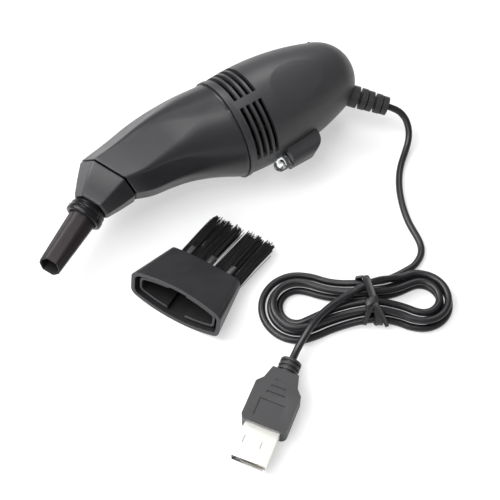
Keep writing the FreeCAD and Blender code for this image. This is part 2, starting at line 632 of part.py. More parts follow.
def tube_stage(name, inset, start):
    """Straight root and tapered, flattened reach of the crevice tube."""
    root = v.tube_root_radius - inset
    tip = v.tube_tip_radius - inset
    flat = v.tube_tip_radius * v.tube_tip_squash - inset
    wires = []
    for along, across, up in ((start, root, root), (number(TUBE_X), root, root),
                              (v.tube_reach, tip, flat)):
        big, small = max(across, up), min(across, up)
        ring = Part.Ellipse(Vector(0, 0, 0), big, small) if big > small else Part.Circle(
            Vector(0, 0, 0), Z_AXIS, big)
        edge = ring.toShape()
        facing = Rotation(Vector(0, 1, 0), RIGHT_ANGLE).multiply(Rotation(Z_AXIS, RIGHT_ANGLE))
        edge.Placement = NOZZLE.multiply(Placement(Vector(along, 0, 0), facing))
        wires.append(Part.Wire([edge]))
    straight = Part.makeLoft(wires[:2], True, True)
    reach = Part.makeLoft(wires[1:], True, True)
    return shaped(name, straight.fuse(reach).removeSplitter())


tube_start = number(TUBE_X) - v.tube_insert + v.move_gap
node(lay(cut("tube_shell", tube_stage("tube_outer", 0.0, tube_start),
             tube_stage("tube_inner", v.tube_wall, tube_start))), "crevice_tube")

# Motor

def can_space(name, inset, start, length):
    """Round bar with two flats, moved inwards by an inset."""
    bar = rod(name + "_round", "x", "motor_radius - (%s)" % inset, length, start)
    block = box(name + "_flats", start, "-motor_flat + (%s)" % inset, "-motor_radius", length,
                "2 * (motor_flat - (%s))" % inset, "2 * motor_radius")
    return common(name, bar, block)


MOTOR_END = "(motor_x + motor_length)"
BELL_X = "(%s - bell_thickness)" % MOTOR_END
front_boss = rod("can_boss", "x", "bearing_boss_radius", "bearing_boss_length",
                 "motor_x - bearing_boss_length")
bush_bore = rod("bush_bore", "x", "bush_radius", "2 * motor_length", "motor_x - motor_length / 2")
mount_screw_bores = [
    rod("mount_bore_%d" % side, "x", "mount_screw_radius", "2 * overrun", "motor_x - overrun", "0",
        "%d * motor_screw_pitch" % side) for side in (-1, 1)]
can = fuse("can_blank", can_space("can_outer", "0", "motor_x", "motor_length - bell_thickness"), front_boss)
can_hollow = can_space("can_inner", "can_wall", "motor_x + can_wall", "motor_length")
node(lay(cut("can_shell", can, can_hollow, bush_bore, *mount_screw_bores)), "motor_can")

rear_boss = rod("bell_boss", "x", "bearing_boss_radius", "bearing_boss_length", MOTOR_END)
bell = fuse("bell_blank", can_space("bell_plate", "0", BELL_X, "bell_thickness"), rear_boss)
terminal_bores = [
    box("terminal_bore_%d" % side, BELL_X + " - overrun", "-terminal_width / 2",
        "%d * terminal_spread - terminal_thickness / 2" % side, "2 * overrun", "terminal_width",
        "terminal_thickness") for side in (-1, 1)]
node(lay(cut("bell_drilled", bell, bush_bore, *terminal_bores)), "motor_end_bell")
terminals = [
    box("terminal_%d" % side, BELL_X + " - terminal_thickness", "-terminal_width / 2",
        "%d * terminal_spread - terminal_thickness / 2" % side,
        "bell_thickness + terminal_length + terminal_thickness", "terminal_width",
        "terminal_thickness") for side in (-1, 1)]
node(lay(fuse("terminal_pair", *terminals)), "motor_terminals")

MAGNET_RADIUS = "(motor_radius - can_wall)"
CORE_RADIUS = "(motor_radius - can_wall - magnet_thickness - air_gap)"
CORE_X = "(motor_x + can_wall + coil_overhang + 2 * air_gap)"
magnet_ring = turned("magnet_ring", stepped([
    ("motor_x + can_wall", BELL_X + " - commutator_length - carbon_length",
     MAGNET_RADIUS, MAGNET_RADIUS + " - magnet_thickness")]))
magnet_block = box("magnet_block", "motor_x", "-motor_flat + can_wall + air_gap", "-motor_radius",
                   "motor_length", "2 * (motor_flat - can_wall - air_gap)", "2 * motor_radius")
node(lay(common("magnet_arcs", magnet_ring, magnet_block)), "motor_magnets")

core_bar = turned("core_bar", stepped([(CORE_X, CORE_X + " + core_length", CORE_RADIUS, "shaft_radius")]))
slots = []
coils = []
for pole in range(int(v.pole_count)):
    turn = "%d * 360 / pole_count" % pole
    for items, name, start, length, depth in (
            (slots, "core_slot", CORE_X + " - air_gap", "core_length + 2 * air_gap", CORE_RADIUS),
            (coils, "coil", CORE_X + " - coil_overhang", "core_length + 2 * coil_overhang",
             CORE_RADIUS + " - coil_inset")):
        block = doc.addObject("Part::Box", "%s_%d" % (name, pole + 1))
        bind(block, Length=length, Width="core_slot_width", Height=depth + " - core_hub")
        side = "core_slot_width / 2"
        y = "-(%s) * cos(%s) - core_hub * sin(%s)" % (side, turn, turn)
        z = "-(%s) * sin(%s) + core_hub * cos(%s)" % (side, turn, turn)
        items.append(place(block, start, y, z, X_AXIS, turn))
node(lay(cut("core_slotted", core_bar, *slots)), "rotor_core")
end_coils = [
    turned("coil_ring_" + side, stepped([(start, start + " + coil_overhang",
                                          CORE_RADIUS + " - coil_inset", "core_hub")]))
    for side, start in (("front", CORE_X + " - coil_overhang"), ("rear", CORE_X + " + core_length"))]
node(lay(fuse("coil_set", *(coils + end_coils))), "rotor_windings")
COMMUTATOR_X = "(%s + core_length + coil_overhang)" % CORE_X
node(lay(turned("commutator_bar", stepped([
    (COMMUTATOR_X, COMMUTATOR_X + " + commutator_length", "commutator_radius", "shaft_radius")]))),
    "commutator")
carbons = []
for side, y in ((1, "commutator_radius + move_gap"), (2, "-commutator_radius - move_gap - carbon_length")):
    carbons.append(box("carbon_%d" % side, COMMUTATOR_X, y, "-carbon_width / 2", "carbon_width",
                       "carbon_length", "carbon_width"))
    holder = "%s + carbon_width" % COMMUTATOR_X
    carbons.append(box("carbon_arm_%d" % side, holder, y, "-carbon_width / 2",
                       "%s - (%s)" % (BELL_X, holder), "carbon_length", "carbon_width"))
node(lay(fuse("carbon_set", *carbons)), "motor_brushes")
SHAFT_END = "(%s + bearing_boss_length + air_gap)" % MOTOR_END
node(lay(turned("shaft_bar", [
    ("shaft_front_x", "0"), ("shaft_front_x", "shaft_radius"), (SHAFT_END, "shaft_radius"),
    (SHAFT_END, "0")])), "motor_shaft")
BUSH_BORE = "shaft_radius + shaft_fit"
node(lay(turned("front_bush_bar", stepped([
    ("motor_x - bearing_boss_length", "motor_x + can_wall", "bush_radius", BUSH_BORE)]))), "front_bush")
node(lay(turned("rear_bush_bar", stepped([
    (BELL_X, MOTOR_END + " + bearing_boss_length", "bush_radius", BUSH_BORE)]))), "rear_bush")

mount_disc = common("mount_disc", rod("mount_plate", "x", REACH, "mount_thickness",
                                      "motor_x - mount_thickness"), hollow)
mount_bore = rod("mount_bore", "x", "bearing_boss_radius", "2 * overrun", "motor_x - overrun")
side_relief = [rod("mount_relief_%d" % side, "x", "mount_relief_radius", "2 * overrun",
                   "motor_x - overrun", "%d * (%s + mount_relief_shift)" % (side, SIDE_BOSS_Y))
               for side in (-1, 1)]
node(lay(cut("mount_drilled", mount_disc, mount_bore, *(mount_screw_bores + side_relief))), "motor_mount")
mount_screws = []
for side in (-1, 1):
    z = "%d * motor_screw_pitch" % side
    mount_screws.append(rod("mount_shank_%d" % side, "x", "mount_screw_radius",
                            "mount_thickness + can_wall", "motor_x - mount_thickness", "0", z))
    mount_screws.append(rod("mount_head_%d" % side, "x", "mount_head_radius", "mount_head",
                            "motor_x - mount_thickness - mount_head", "0", z))
node(lay(fuse("mount_screw_pair", *mount_screws)), "motor_screws")

# Fan

FAN_RADIUS = "(body_radius - wall - fan_clearance)"
fan_body = turned("fan_disc_body", [
    ("fan_back_x + fan_disc", "shaft_radius"),
    ("fan_back_x - fan_depth", "shaft_radius"),
    ("fan_back_x - fan_depth", "fan_nose_radius"),
    ("fan_back_x", "fan_hub_radius"),
    ("fan_back_x", FAN_RADIUS),
    ("fan_back_x + fan_disc", FAN_RADIUS),
])
blades = []
for blade in range(int(v.blade_count)):
    turn = "%d * 360 / blade_count" % blade
    plate_blade = doc.addObject("Part::Box", "blade_%d" % (blade + 1))
    bind(plate_blade, Length="fan_depth", Width="blade_thickness",
         Height=FAN_RADIUS + " - fan_hub_radius - blade_root")
    low = "(fan_hub_radius + blade_root)"
    y = "-blade_thickness / 2 * cos(%s) - %s * sin(%s)" % (turn, low, turn)
    z = "-blade_thickness / 2 * sin(%s) + %s * cos(%s)" % (turn, low, turn)
    blades.append(place(plate_blade, "fan_back_x - fan_depth", y, z, X_AXIS, turn))
node(lay(fuse("fan_wheel", fan_body, *blades)), "fan_impeller")

# Slide switch on the rear shoulder of the convex back

SWITCH_LOW = "-knob_length / 2 - (switch_length - knob_length - switch_travel) / 2"
node(lay(fuse("switch_case", slanted_box(
    "switch_box", *SWITCH, ("switch_top - switch_height", SWITCH_LOW, "-switch_width / 2"),
    ("switch_height", "switch_length", "switch_width")), slanted_box(
    "switch_lip", *SWITCH, ("switch_top - switch_height", SWITCH_LOW + " - switch_lip",
                            "-switch_lip_width / 2"),
    ("switch_lip", "switch_length + 2 * switch_lip", "switch_lip_width")))), "switch_body")
pins = [slanted_box(
    "switch_pin_%d" % pin, *SWITCH,
    ("switch_top - switch_height - pin_length", "%d * pin_pitch - pin_radius - pin_shift" % pin,
     "-pin_radius"), ("pin_length", "2 * pin_radius", "2 * pin_radius")) for pin in (-1, 0, 1)]
node(lay(fuse("switch_pin_set", *pins)), "switch_pins")
knob_parts = [slanted_box(
    "knob_block", *SWITCH, ("switch_top + move_gap", "-knob_length / 2", "-knob_width / 2"),
    ("dome_radius + knob_rise - switch_top - move_gap", "knob_length", "knob_width"))]
grooves = [slanted_box(
    "knob_groove_%d" % groove, *SWITCH,
    ("dome_radius + knob_rise - knob_groove", "%d * knob_groove_pitch - knob_groove / 2" % groove,
     "-knob_width"), ("2 * knob_groove", "knob_groove", "2 * knob_width")) for groove in (-1, 0, 1)]
node(lay(cut("knob_grooved", knob_parts[0], *grooves)), "switch_knob")

# Lamp pod on the belly

OUTER = "-(body_radius + pod_rise)"
LAMP_Y = "-(body_radius + lamp_rise)"
pod_section = prism("pod_section", "YZ_Plane", [
    ("-body_radius / 2", "-pod_width / 2"),
    (OUTER + " + pod_round", "-pod_width / 2", OUTER + " + pod_round", "-pod_width / 2 + pod_round",
     "pod_round"),
    (OUTER, "-pod_width / 2 + pod_round"),
    (OUTER, "pod_width / 2 - pod_round", OUTER + " + pod_round", "pod_width / 2 - pod_round",
     "pod_round"),
    (OUTER + " + pod_round", "pod_width / 2"),
    ("-body_radius / 2", "pod_width / 2"),
], "2 * " + REACH)
POD_END = "(pod_front_x + pod_length)"
pod_side = prism("pod_side", "XY_Plane", [
    ("pod_front_x", OUTER),
    ("pod_front_x", "-body_radius / 2"),
    (POD_END, "-body_radius / 2"),
    (POD_END, OUTER + " + pod_tail_round", POD_END + " - pod_tail_round", OUTER + " + pod_tail_round",
     "pod_tail_round"),
    (POD_END + " - pod_tail_round", OUTER),
], "2 * pod_width")
pod_space = box("pod_space", "pod_front_x + pod_wall", OUTER + " + pod_wall",
                "-pod_width / 2 + pod_wall", "pod_length - pod_wall - pod_tail_wall",
                "body_radius", "pod_width - 2 * pod_wall")
pod_hole = rod("pod_lamp_hole", "x", "lamp_radius", "2 * overrun", "pod_front_x - overrun", LAMP_Y)
node(lay(cut("pod_shell", common("pod_blank", pod_section, pod_side), pod_space, pod_hole, skin)),
     "lamp_pod")

clear_skin = turned("lamp_clearance", shell_points("-lamp_gap"))
LAMP_X = "(pod_front_x - lamp_flange)"
LAMP_DOME = "(%s - lamp_length + lamp_radius)" % LAMP_X
lamp_bar = fuse("lamp_bar",
                rod("lamp_flange_disc", "x", "lamp_flange_radius", "lamp_flange", LAMP_X, LAMP_Y),
                rod("lamp_round", "x", "lamp_radius", "pod_front_x + pod_wall - (%s)" % LAMP_DOME,
                    LAMP_DOME, LAMP_Y))
lamp_dome = doc.addObject("Part::Sphere", "lamp_dome")
bind(lamp_dome, Radius="lamp_radius")
place(lamp_dome, LAMP_DOME, LAMP_Y)
node(lay(cut("lamp_trimmed", fuse("lamp_blank", lamp_bar, lamp_dome), clear_skin)), "lamp_led")
leads = [rod("lamp_lead_%d" % side, "x", "lead_radius", "lead_length", "pod_front_x + pod_wall",
             LAMP_Y, "%d * lead_pitch / 2" % side) for side in (-1, 1)]
node(lay(fuse("lamp_lead_pair", *leads)), "lamp_leads")
RESISTOR_X = "(pod_front_x + pod_wall + lead_length)"
resistor = [rod("resistor_bar", "x", "resistor_radius", "resistor_length", RESISTOR_X, LAMP_Y,
                "lead_pitch / 2"),
            rod("resistor_wire", "x", "lead_radius", "resistor_lead", RESISTOR_X + " + resistor_length",
                LAMP_Y, "lead_pitch / 2")]
node(lay(fuse("resistor_body", *resistor)), "lamp_resistor")

# Strain relief of the lead


def on_boot(obj):
    """Places an object with its X axis out along the strain relief."""
    return place(obj, "boot_x", "boot_y", about=Z_AXIS, angle="-boot_angle")


BOOT_PAIR = "(boot_gap + boot_slit + 2 * boot_rib)"
BOOT_LENGTH = "(boot_disc + boot_pairs * %s)" % BOOT_PAIR
boot_stages = [("-boot_sink", "boot_disc", "boot_root_radius", "cord_radius")]
for pair in range(int(v.boot_pairs)):
    start = "boot_disc + %d * %s" % (pair, BOOT_PAIR)
    for groove in ("boot_gap", "boot_slit"):
        radius = ("boot_root_radius + (boot_tip_radius - boot_root_radius) * (%s) / %s"
                  % (start, BOOT_LENGTH))
        boot_stages.append((start, start + " + " + groove, "boot_core_radius", "cord_radius"))
        start += " + " + groove
        boot_stages.append((start, start + " + boot_rib", radius, "cord_radius"))
        start += " + boot_rib"


def stack(name, stages):
    """Turned rings end to end, fused."""
    rings = []
    for count, stage in enumerate(stages, start=1):
        rings.append(on_boot(turned("%s_%d" % (name, count), stepped([stage]))))
    return fuse(name, *rings)


boot_outside = cut("boot_outside", stack("boot_ribs_set", boot_stages), skin)
boot_inside = stack("boot_inside", [
    ("-boot_grip", "0", "boot_neck_radius", "cord_radius"),
    ("-boot_grip - boot_flange", "-boot_grip", "boot_flange_radius", "cord_radius")])
node(lay(fuse("boot_whole", boot_outside, boot_inside)), "cord_boot")
entry = on_boot(turned("entry_bar", stepped([
    ("-boot_grip - boot_flange - entry_length", BOOT_LENGTH, "cord_radius", "core_wire_radius")])))
wires = on_boot(turned("wire_bar", [
    ("-boot_grip - boot_flange - entry_length - bare_wire", "0"),
    ("-boot_grip - boot_flange - entry_length - bare_wire", "core_wire_radius"),
    (BOOT_LENGTH, "core_wire_radius"), (BOOT_LENGTH, "0")]))
node(lay(fuse("entry_laid", entry, wires)), "cord_entry")

# Lead: route, hank, tail and tie

BOOT_OUT = Rotation(X_AXIS, v.roll_angle).multiply(Rotation(Z_AXIS, -v.boot_angle))


def laid(point):
    """Point of the vacuum's own frame in the object frame."""
    return NODES["cord_boot"].Placement.multVec(point)


ARC_SHARE = 0.45


def way(points, fraction=ARC_SHARE):
    """Straight runs joined by tangent arcs, as edges, with the radius of each turn."""
    edges = []
    radii = []
    last = points[0]
    for before, corner, after in zip(points, points[1:], points[2:]):
        into = (corner - before).normalize()
        out = (after - corner).normalize()
        half = into.getAngle(out) / 2
        shorter = min((corner - before).Length, (after - corner).Length)
        reach = fraction * shorter
        radius = reach / math.tan(half)
        start = corner - into * reach
        end = corner + out * reach
        inward = (out - into).normalize()
        middle = corner + inward * (radius / math.cos(half) - radius)
        edges.append(Part.LineSegment(last, start).toShape())
        edges.append(Part.Arc(start, middle, end).toShape())
        radii.append(radius)
        last = end
    edges.append(Part.LineSegment(last, points[-1]).toShape())
    return edges, radii


def swept(edges, radius, start, heading):
    """Round bar swept along edges."""
    ring = Part.Wire([Part.makeCircle(radius, start, heading)])
    path = Part.Wire(edges)
    sweep = Part.BRepOffsetAPI.MakePipeShell(path)
    sweep.add(ring)
    sweep.build()
    sweep.makeSolid()
    solid = sweep.shape()
    print("swept length %.2f volume ratio %.4f"
          % (path.Length, solid.Volume / (math.pi * radius ** 2 * path.Length)))
    return solid


WAIST = Placement(Vector(v.hank_x, v.hank_y, 0), Rotation(Z_AXIS, v.hank_angle))


def waist_radius(lobe_x, lobe):
    """Radius of the concave waist arc that meets a lobe."""
    return (lobe_x ** 2 + v.waist_half ** 2 - lobe ** 2) / (2 * (lobe - v.waist_half))


LEFT_WAIST = waist_radius(v.left_lobe_x, v.left_lobe)
RIGHT_WAIST = waist_radius(v.right_lobe_x, v.right_lobe)
LEFT_MEET = math.atan2(v.waist_half + LEFT_WAIST, v.left_lobe_x)
RIGHT_MEET = math.atan2(v.waist_half + RIGHT_WAIST, v.right_lobe_x)
HALF_TURN = math.pi
# Centre x, centre y, radius, whether an inward offset grows it, first and last angle
HANK_ARCS = [
    (0.0, v.waist_half + LEFT_WAIST, LEFT_WAIST, 1, -HALF_TURN / 2, LEFT_MEET - HALF_TURN),
    (-v.left_lobe_x, 0.0, v.left_lobe, -1, LEFT_MEET, HALF_TURN),
    (-v.left_lobe_x, 0.0, v.left_lobe, -1, HALF_TURN, 2 * HALF_TURN - LEFT_MEET),
    (0.0, -v.waist_half - LEFT_WAIST, LEFT_WAIST, 1, HALF_TURN - LEFT_MEET, HALF_TURN / 2),
    (0.0, -v.waist_half - RIGHT_WAIST, RIGHT_WAIST, 1, HALF_TURN / 2, RIGHT_MEET),
    (v.right_lobe_x, 0.0, v.right_lobe, -1, RIGHT_MEET - HALF_TURN, 0.0),
    (v.right_lobe_x, 0.0, v.right_lobe, -1, 0.0, HALF_TURN - RIGHT_MEET),
    (0.0, v.waist_half + RIGHT_WAIST, RIGHT_WAIST, 1, -RIGHT_MEET, -HALF_TURN / 2),
]


def lift(along):
    """Height that the tie gives the strands over it."""
    return v.tie_lift * math.exp(-(along / v.tie_spread) ** 2)


def hank_point(turns):
    """Point of the wound lead after a number of turns."""
    peak = v.hank_peak
    inward = v.hank_pitch * (turns if turns < peak else 2 * peak - turns)
    step = (turns % 1.0) * len(HANK_ARCS)
    index = min(int(step), len(HANK_ARCS) - 1)
    centre_x, centre_y, radius, grows, first, last = HANK_ARCS[index]
    angle = first + (last - first) * (step - index)
    reach = radius + grows * inward
    along = centre_x + reach * math.cos(angle)
    across = centre_y + reach * math.sin(angle)
    climb = min(max((turns - peak) / v.hank_climb + 0.5, 0.0), 1.0)
    height = v.cord_radius + v.hank_pitch * climb ** 2 * (3 - 2 * climb) + lift(along)
    return WAIST.multVec(Vector(along, across, height))


def hank_heading(turns, step=1e-4):
    """Direction of the wound lead."""
    return (hank_point(turns + step) - hank_point(turns - step)).normalize()


def biarc(start, heading, end, facing):
    """Two tangent arcs between two points with given directions."""
    gap = end - start
    both = heading + facing
    quad = both.dot(both) - 4
    linear = -2 * gap.dot(both)
    constant = gap.dot(gap)
    if abs(quad) < 1e-9:
        reach = -constant / linear
    else:
        root = math.sqrt(linear ** 2 - 4 * quad * constant)
        reach = min(r for r in ((-linear + root) / (2 * quad), (-linear - root) / (2 * quad)) if r > 0)
    corner_in = start + heading * reach
    corner_out = end - facing * reach
    join = (corner_in + corner_out) * 0.5
    edges = []
    for first, corner, last in ((start, corner_in, join), (join, corner_out, end)):
        centre = (first + last) * 0.5
        half = (last - first).Length / 2
        rise = (corner - centre).Length
        if rise < 1e-4 * half:
            edges.append(Part.LineSegment(first, last).toShape())
            continue
        sag = half * (math.hypot(half, rise) - half) / rise
        edges.append(Part.Arc(first, centre + (corner - centre) * (sag / rise), last).toShape())
    return edges


hank_start = v.hank_start
hank_end = v.hank_end
TURN_ARCS = len(HANK_ARCS)
SHORTEST_ARC = 0.02
whole_arcs = [count / TURN_ARCS for count in range(-TURN_ARCS, TURN_ARCS * math.ceil(hank_end))]
marks = [hank_start]
marks += [mark for mark in whole_arcs if hank_start + SHORTEST_ARC < mark < hank_end - SHORTEST_ARC]
marks.append(hank_end)
hank_edges = []
lead_in = hank_point(hank_start) - hank_heading(hank_start) * v.hank_lead
lead_out = hank_point(hank_end) + hank_heading(hank_end) * v.hank_lead
hank_edges.append(Part.LineSegment(lead_in, hank_point(hank_start)).toShape())
for first, last in zip(marks, marks[1:]):
    hank_edges += biarc(hank_point(first), hank_heading(first), hank_point(last), hank_heading(last))
hank_edges.append(Part.LineSegment(hank_point(hank_end), lead_out).toShape())
hank_wire = Part.Wire(hank_edges)
SPACING = 0.8
NEIGHBOUR_LENGTH = 7.8
spots = hank_wire.discretize(Distance=SPACING)
stride = hank_wire.Length / (len(spots) - 1)
skip = int(NEIGHBOUR_LENGTH / stride) + 1
nearest = min((spots[i] - spots[j]).Length for i in range(len(spots)) for j in range(i + skip, len(spots)))
print("hank length %.1f, least gap between strands %.2f, tightest arc %.2f" % (
    hank_wire.Length, nearest - 2 * v.cord_radius,
    min(edge.Curve.Radius for edge in hank_edges if hasattr(edge.Curve, "Radius"))))
node(shaped("hank_sweep", swept(hank_edges, v.cord_radius, lead_in, hank_heading(hank_start))), "cord_hank")

boot_tip = laid(Vector(v.boot_x, v.boot_y, 0)
                + Rotation(Z_AXIS, -v.boot_angle).multVec(Vector(number(BOOT_LENGTH), 0, 0)))
table = v.cord_radius
run_back = lead_in - hank_heading(hank_start) * v.route_run
ROUTE = [
    boot_tip,
    boot_tip + BOOT_OUT.multVec(Vector(v.first_run, 0, 0)),
    Vector(45.2, -27.3, 9.6),
    Vector(44.9, -30.8, 7.0),
    Vector(42.9, -34.1, 4.4),
    Vector(39.0, -37.1, 2.3),
    Vector(32.9, -41.4, table),
    Vector(27.2, -47.6, table),
    Vector(22.4, -55.4, table),
    Vector(19.0, -63.6, table),
    Vector(17.9, -69.5, table),
    Vector(16.6, -73.8, table),
    Vector(14.7, -76.3, table),
    Vector(12.7, -77.8, table),
    run_back,
    lead_in,
]
route_edges, route_radii = way(ROUTE)
print("route radii", " ".join("%.1f" % radius for radius in route_radii))
print("route runs", " ".join("%.1f" % (b - a).Length for a, b in zip(ROUTE, ROUTE[1:])))
node(shaped("run_sweep", swept(route_edges, v.cord_radius, ROUTE[0], ROUTE[1] - ROUTE[0])), "cord_run")

# Plug frame: X from the shell to the lead
PLUG = Placement(Vector(v.plug_x, v.plug_y, v.plug_height / 2), Rotation(Z_AXIS, v.plug_angle))
neck_end = PLUG.multVec(Vector(v.plug_body + v.plug_taper + v.plug_neck, 0, 0))
neck_out = PLUG.Rotation.multVec(X_AXIS)


def over(along, across, height):
    """Point over the hank, lifted with its strands."""
    return WAIST.multVec(Vector(along, across, height + lift(along)))


TAIL = [
    lead_out,
    lead_out + hank_heading(hank_end) * v.tail_lead,
    over(7.0, 7.5, 5.2),
    over(4.1, 6.3, 6.6),
    over(0.2, 4.6, 7.4),
    over(-4.0, 2.5, 7.9),
    over(-8.5, 0.4, 7.7),
    over(-15.5, -3.8, 7.7),
    over(-21.3, -9.4, 7.7),
    over(-25.3, -14.8, 5.9),
    neck_end + neck_out * v.tail_run,
    neck_end,
]
tail_edges, tail_radii = way(TAIL)
print("tail radii", " ".join("%.1f" % radius for radius in tail_radii))
print("tail runs", " ".join("%.1f" % (b - a).Length for a, b in zip(TAIL, TAIL[1:])))
tail_spots = Part.Wire(tail_edges).discretize(Distance=SPACING)
clear = min((a - b).Length for a in tail_spots[skip:] for b in spots) - 2 * v.cord_radius
print("tail to hank gap %.2f" % clear)
node(shaped("tail_sweep", swept(tail_edges, v.cord_radius, TAIL[0], TAIL[1] - TAIL[0])), "cord_tail")

# Tie around the waist


def hull(points):
    """Convex hull of points in a plane, anticlockwise."""
    ordered = sorted(set(points))
    halves = []
    for sequence in (ordered, ordered[::-1]):
        side = []
        for point in sequence:
            while len(side) > 1:
                (ax, ay), (bx, by) = side[-2], side[-1]
                if (bx - ax) * (point[1] - ay) - (by - ay) * (point[0] - ax) > 0:
                    break
                side.pop()
            side.append(point)
        halves += side[:-1]
    return halves


across_waist = []
for half_turns in range(int(2 * hank_end) + 1):
    spot = WAIST.inverse().multVec(hank_point(half_turns / 2.0))
    across_waist.append((round(spot.y, 3), round(spot.z, 3)))
tail_cross = min(tail_spots, key=lambda spot: abs(WAIST.inverse().multVec(spot).x))
tail_cross = WAIST.inverse().multVec(tail_cross)
across_waist.append((round(tail_cross.y, 3), round(tail_cross.z, 3)))
corners = [WAIST.multVec(Vector(-v.tie_width / 2, y, z)) for y, z in hull(across_waist)]
ring_path = Part.makePolygon(corners + corners[:1])
inside = v.cord_radius + v.tie_slack
inner_ring = ring_path.makeOffset2D(inside, 0)
outer_ring = ring_path.makeOffset2D(inside + v.tie_thickness, 0)
along_waist = WAIST.Rotation.multVec(X_AXIS)
band_face = Part.Face(outer_ring).cut(Part.Face(inner_ring))
tie_band = band_face.extrude(along_waist * v.tie_width)
top_z = max(z for _, z in across_waist) + inside + v.tie_thickness
knot_y = tail_cross.y - v.knot_shift
knot_centre = WAIST.multVec(Vector(0, knot_y, top_z + v.knot_rise))
knot = Part.makeSphere(v.knot_radius, knot_centre)
low_side = min(y for y, _ in across_waist) - inside - v.tie_thickness - 2 * v.tie_end_radius
ends = [tie_band, knot]
# Shares of the spread, the near side and the height, and the shift in tie thicknesses
TRAIL_SHARES = [(0.5, 0.7, 1.0, 0), (0.8, 1.0, 0.52, 1), (1.0, 1.0, 0.03, 2)]
TRAIL_ARC_SHARE = 0.3
for side, spread in ((-1, v.tie_end_left), (1, v.tie_end_right)):
    trail = [
        knot_centre,
        WAIST.multVec(Vector(side * v.tie_width, knot_y - v.knot_radius, top_z + v.tie_end_radius)),
    ]
    for spread_share, side_share, height_share, shift in TRAIL_SHARES:
        trail.append(WAIST.multVec(Vector(
            spread * spread_share, low_side * side_share - shift * v.tie_thickness,
            top_z * height_share + v.tie_end_radius)))
    trail_edges, _ = way(trail, TRAIL_ARC_SHARE)
    ends.append(swept(trail_edges, v.tie_end_radius, trail[0], trail[1] - trail[0]))
tie = ends[0].fuse(ends[1:]).removeSplitter()
node(shaped("tie_band", tie), "cord_tie")

# USB plug


def on_plug(obj):
    """Lays a piece of the plug at its place on the table."""
    return place(obj, "plug_x", "plug_y", "plug_height / 2", Z_AXIS, "plug_angle")


SHOULDER = "(plug_body + plug_taper)"
half_wide = "plug_width / 2"
half_top = "plug_top_width / 2"
plug_plan = prism("plug_plan", "XY_Plane", [
    ("0", "-%s + plug_round" % half_wide),
    ("0", "%s - plug_round" % half_wide, "plug_round", "%s - plug_round" % half_wide, "plug_round"),
    ("plug_round", half_wide),
    ("plug_body", half_wide),
    ("plug_body + waist_x", "waist_width / 2"),
    (SHOULDER, half_top),
    (SHOULDER, "-" + half_top),
    ("plug_body + waist_x", "-waist_width / 2"),
    ("plug_body", "-" + half_wide),
    ("plug_round", "-" + half_wide, "plug_round", "-%s + plug_round" % half_wide, "plug_round"),
], "2 * plug_height")
half_high = "plug_height / 2"
plug_profile = prism("plug_profile", "XZ_Plane", [
    ("0", "-" + half_high), ("0", half_high), ("plug_body", half_high),
    (SHOULDER, "plug_neck_width / 2"), (SHOULDER, "-plug_neck_width / 2"),
    ("plug_body", "-" + half_high)], "2 * plug_width")
neck_rings = []
RING = "(plug_neck / (2 * neck_rings))"
for ring in range(int(v.neck_rings)):
    start = "%s + %d * 2 * %s" % (SHOULDER, ring, RING)
    neck_rings.append(turned("neck_core_%d" % ring, stepped([
        (start, start + " + " + RING, "plug_neck_width / 2 - neck_groove", "cord_radius")])))
    neck_rings.append(turned("neck_ring_%d" % ring, stepped([
        (start + " + " + RING, start + " + 2 * " + RING, "plug_neck_width / 2", "cord_radius")])))
neck_plug = turned("neck_filling", [(SHOULDER, "0"), (SHOULDER, "cord_radius"),
                                    (SHOULDER + " + plug_neck", "cord_radius"),
                                    (SHOULDER + " + plug_neck", "0")])
shell_bore = box("shell_bore", "-overrun", "-shell_width / 2", "-shell_height / 2",
                 "overrun + shell_insert", "shell_width", "shell_height")
panel = box("plug_panel", "panel_x", "-panel_width / 2", half_high + " - panel_depth",
            "panel_length", "panel_width", "overrun")
ridges = [box("plug_ridge_%d" % ridge, "ridge_x + %d * ridge_pitch" % ridge,
              "-(ridge_width - %d * ridge_narrow) / 2" % ridge,
              half_high + " - ridge_height", "ridge_pitch / 3",
              "ridge_width - %d * ridge_narrow" % ridge, "overrun")
          for ridge in range(int(v.ridge_count))]
plug_blank = cut("plug_blank", common("plug_rough", plug_plan, plug_profile), shell_bore, panel, *ridges)
node(on_plug(fuse("plug_whole", plug_blank, neck_plug, *neck_rings)), "plug_overmold")

shell_out = box("shell_out", "-shell_length", "-shell_width / 2", "-shell_height / 2",
                "shell_length + shell_insert", "shell_width", "shell_height")
shell_in = box("shell_in", "-shell_length - overrun", "-shell_width / 2 + shell_metal",
               "-shell_height / 2 + shell_metal", "shell_length + shell_insert + overrun - shell_metal",
               "shell_width - 2 * shell_metal", "shell_height - 2 * shell_metal")
shell_holes = [box("shell_hole_%d" % side, "-shell_length + shell_hole_set",
                   "%d * shell_hole_pitch / 2 - shell_hole / 2" % side, "-plug_height", "shell_hole",
                   "shell_hole", "2 * plug_height") for side in (-1, 1)]
node(on_plug(cut("shell_pressed", shell_out, shell_in, *shell_holes)), "plug_shell")
tongue = box("tongue_block", "-shell_length + tongue_set", "-shell_width / 2 + shell_metal",
             "shell_height / 2 - shell_metal - tongue_height",
             "shell_length + shell_insert - tongue_set - shell_metal",
             "shell_width - 2 * shell_metal", "tongue_height")
node(on_plug(fuse("tongue_laid", tongue, box(
    "tongue_block_root", "-tongue_root", "-shell_width / 2 + shell_metal", "-shell_height / 2 + shell_metal",
    "tongue_root + shell_insert - shell_metal", "shell_width - 2 * shell_metal",
    "shell_height - 2 * shell_metal"))), "plug_tongue")
contacts = [box("contact_%d" % index, "-shell_length + tongue_set + contact_width",
                "(%d - (contact_count - 1) / 2) * contact_pitch - contact_width / 2" % index,
                "shell_height / 2 - shell_metal - tongue_height - contact_thickness",
                "contact_length", "contact_width", "contact_thickness")
            for index in range(int(v.contact_count))]
node(on_plug(fuse("contact_set", *contacts)), "plug_contacts")

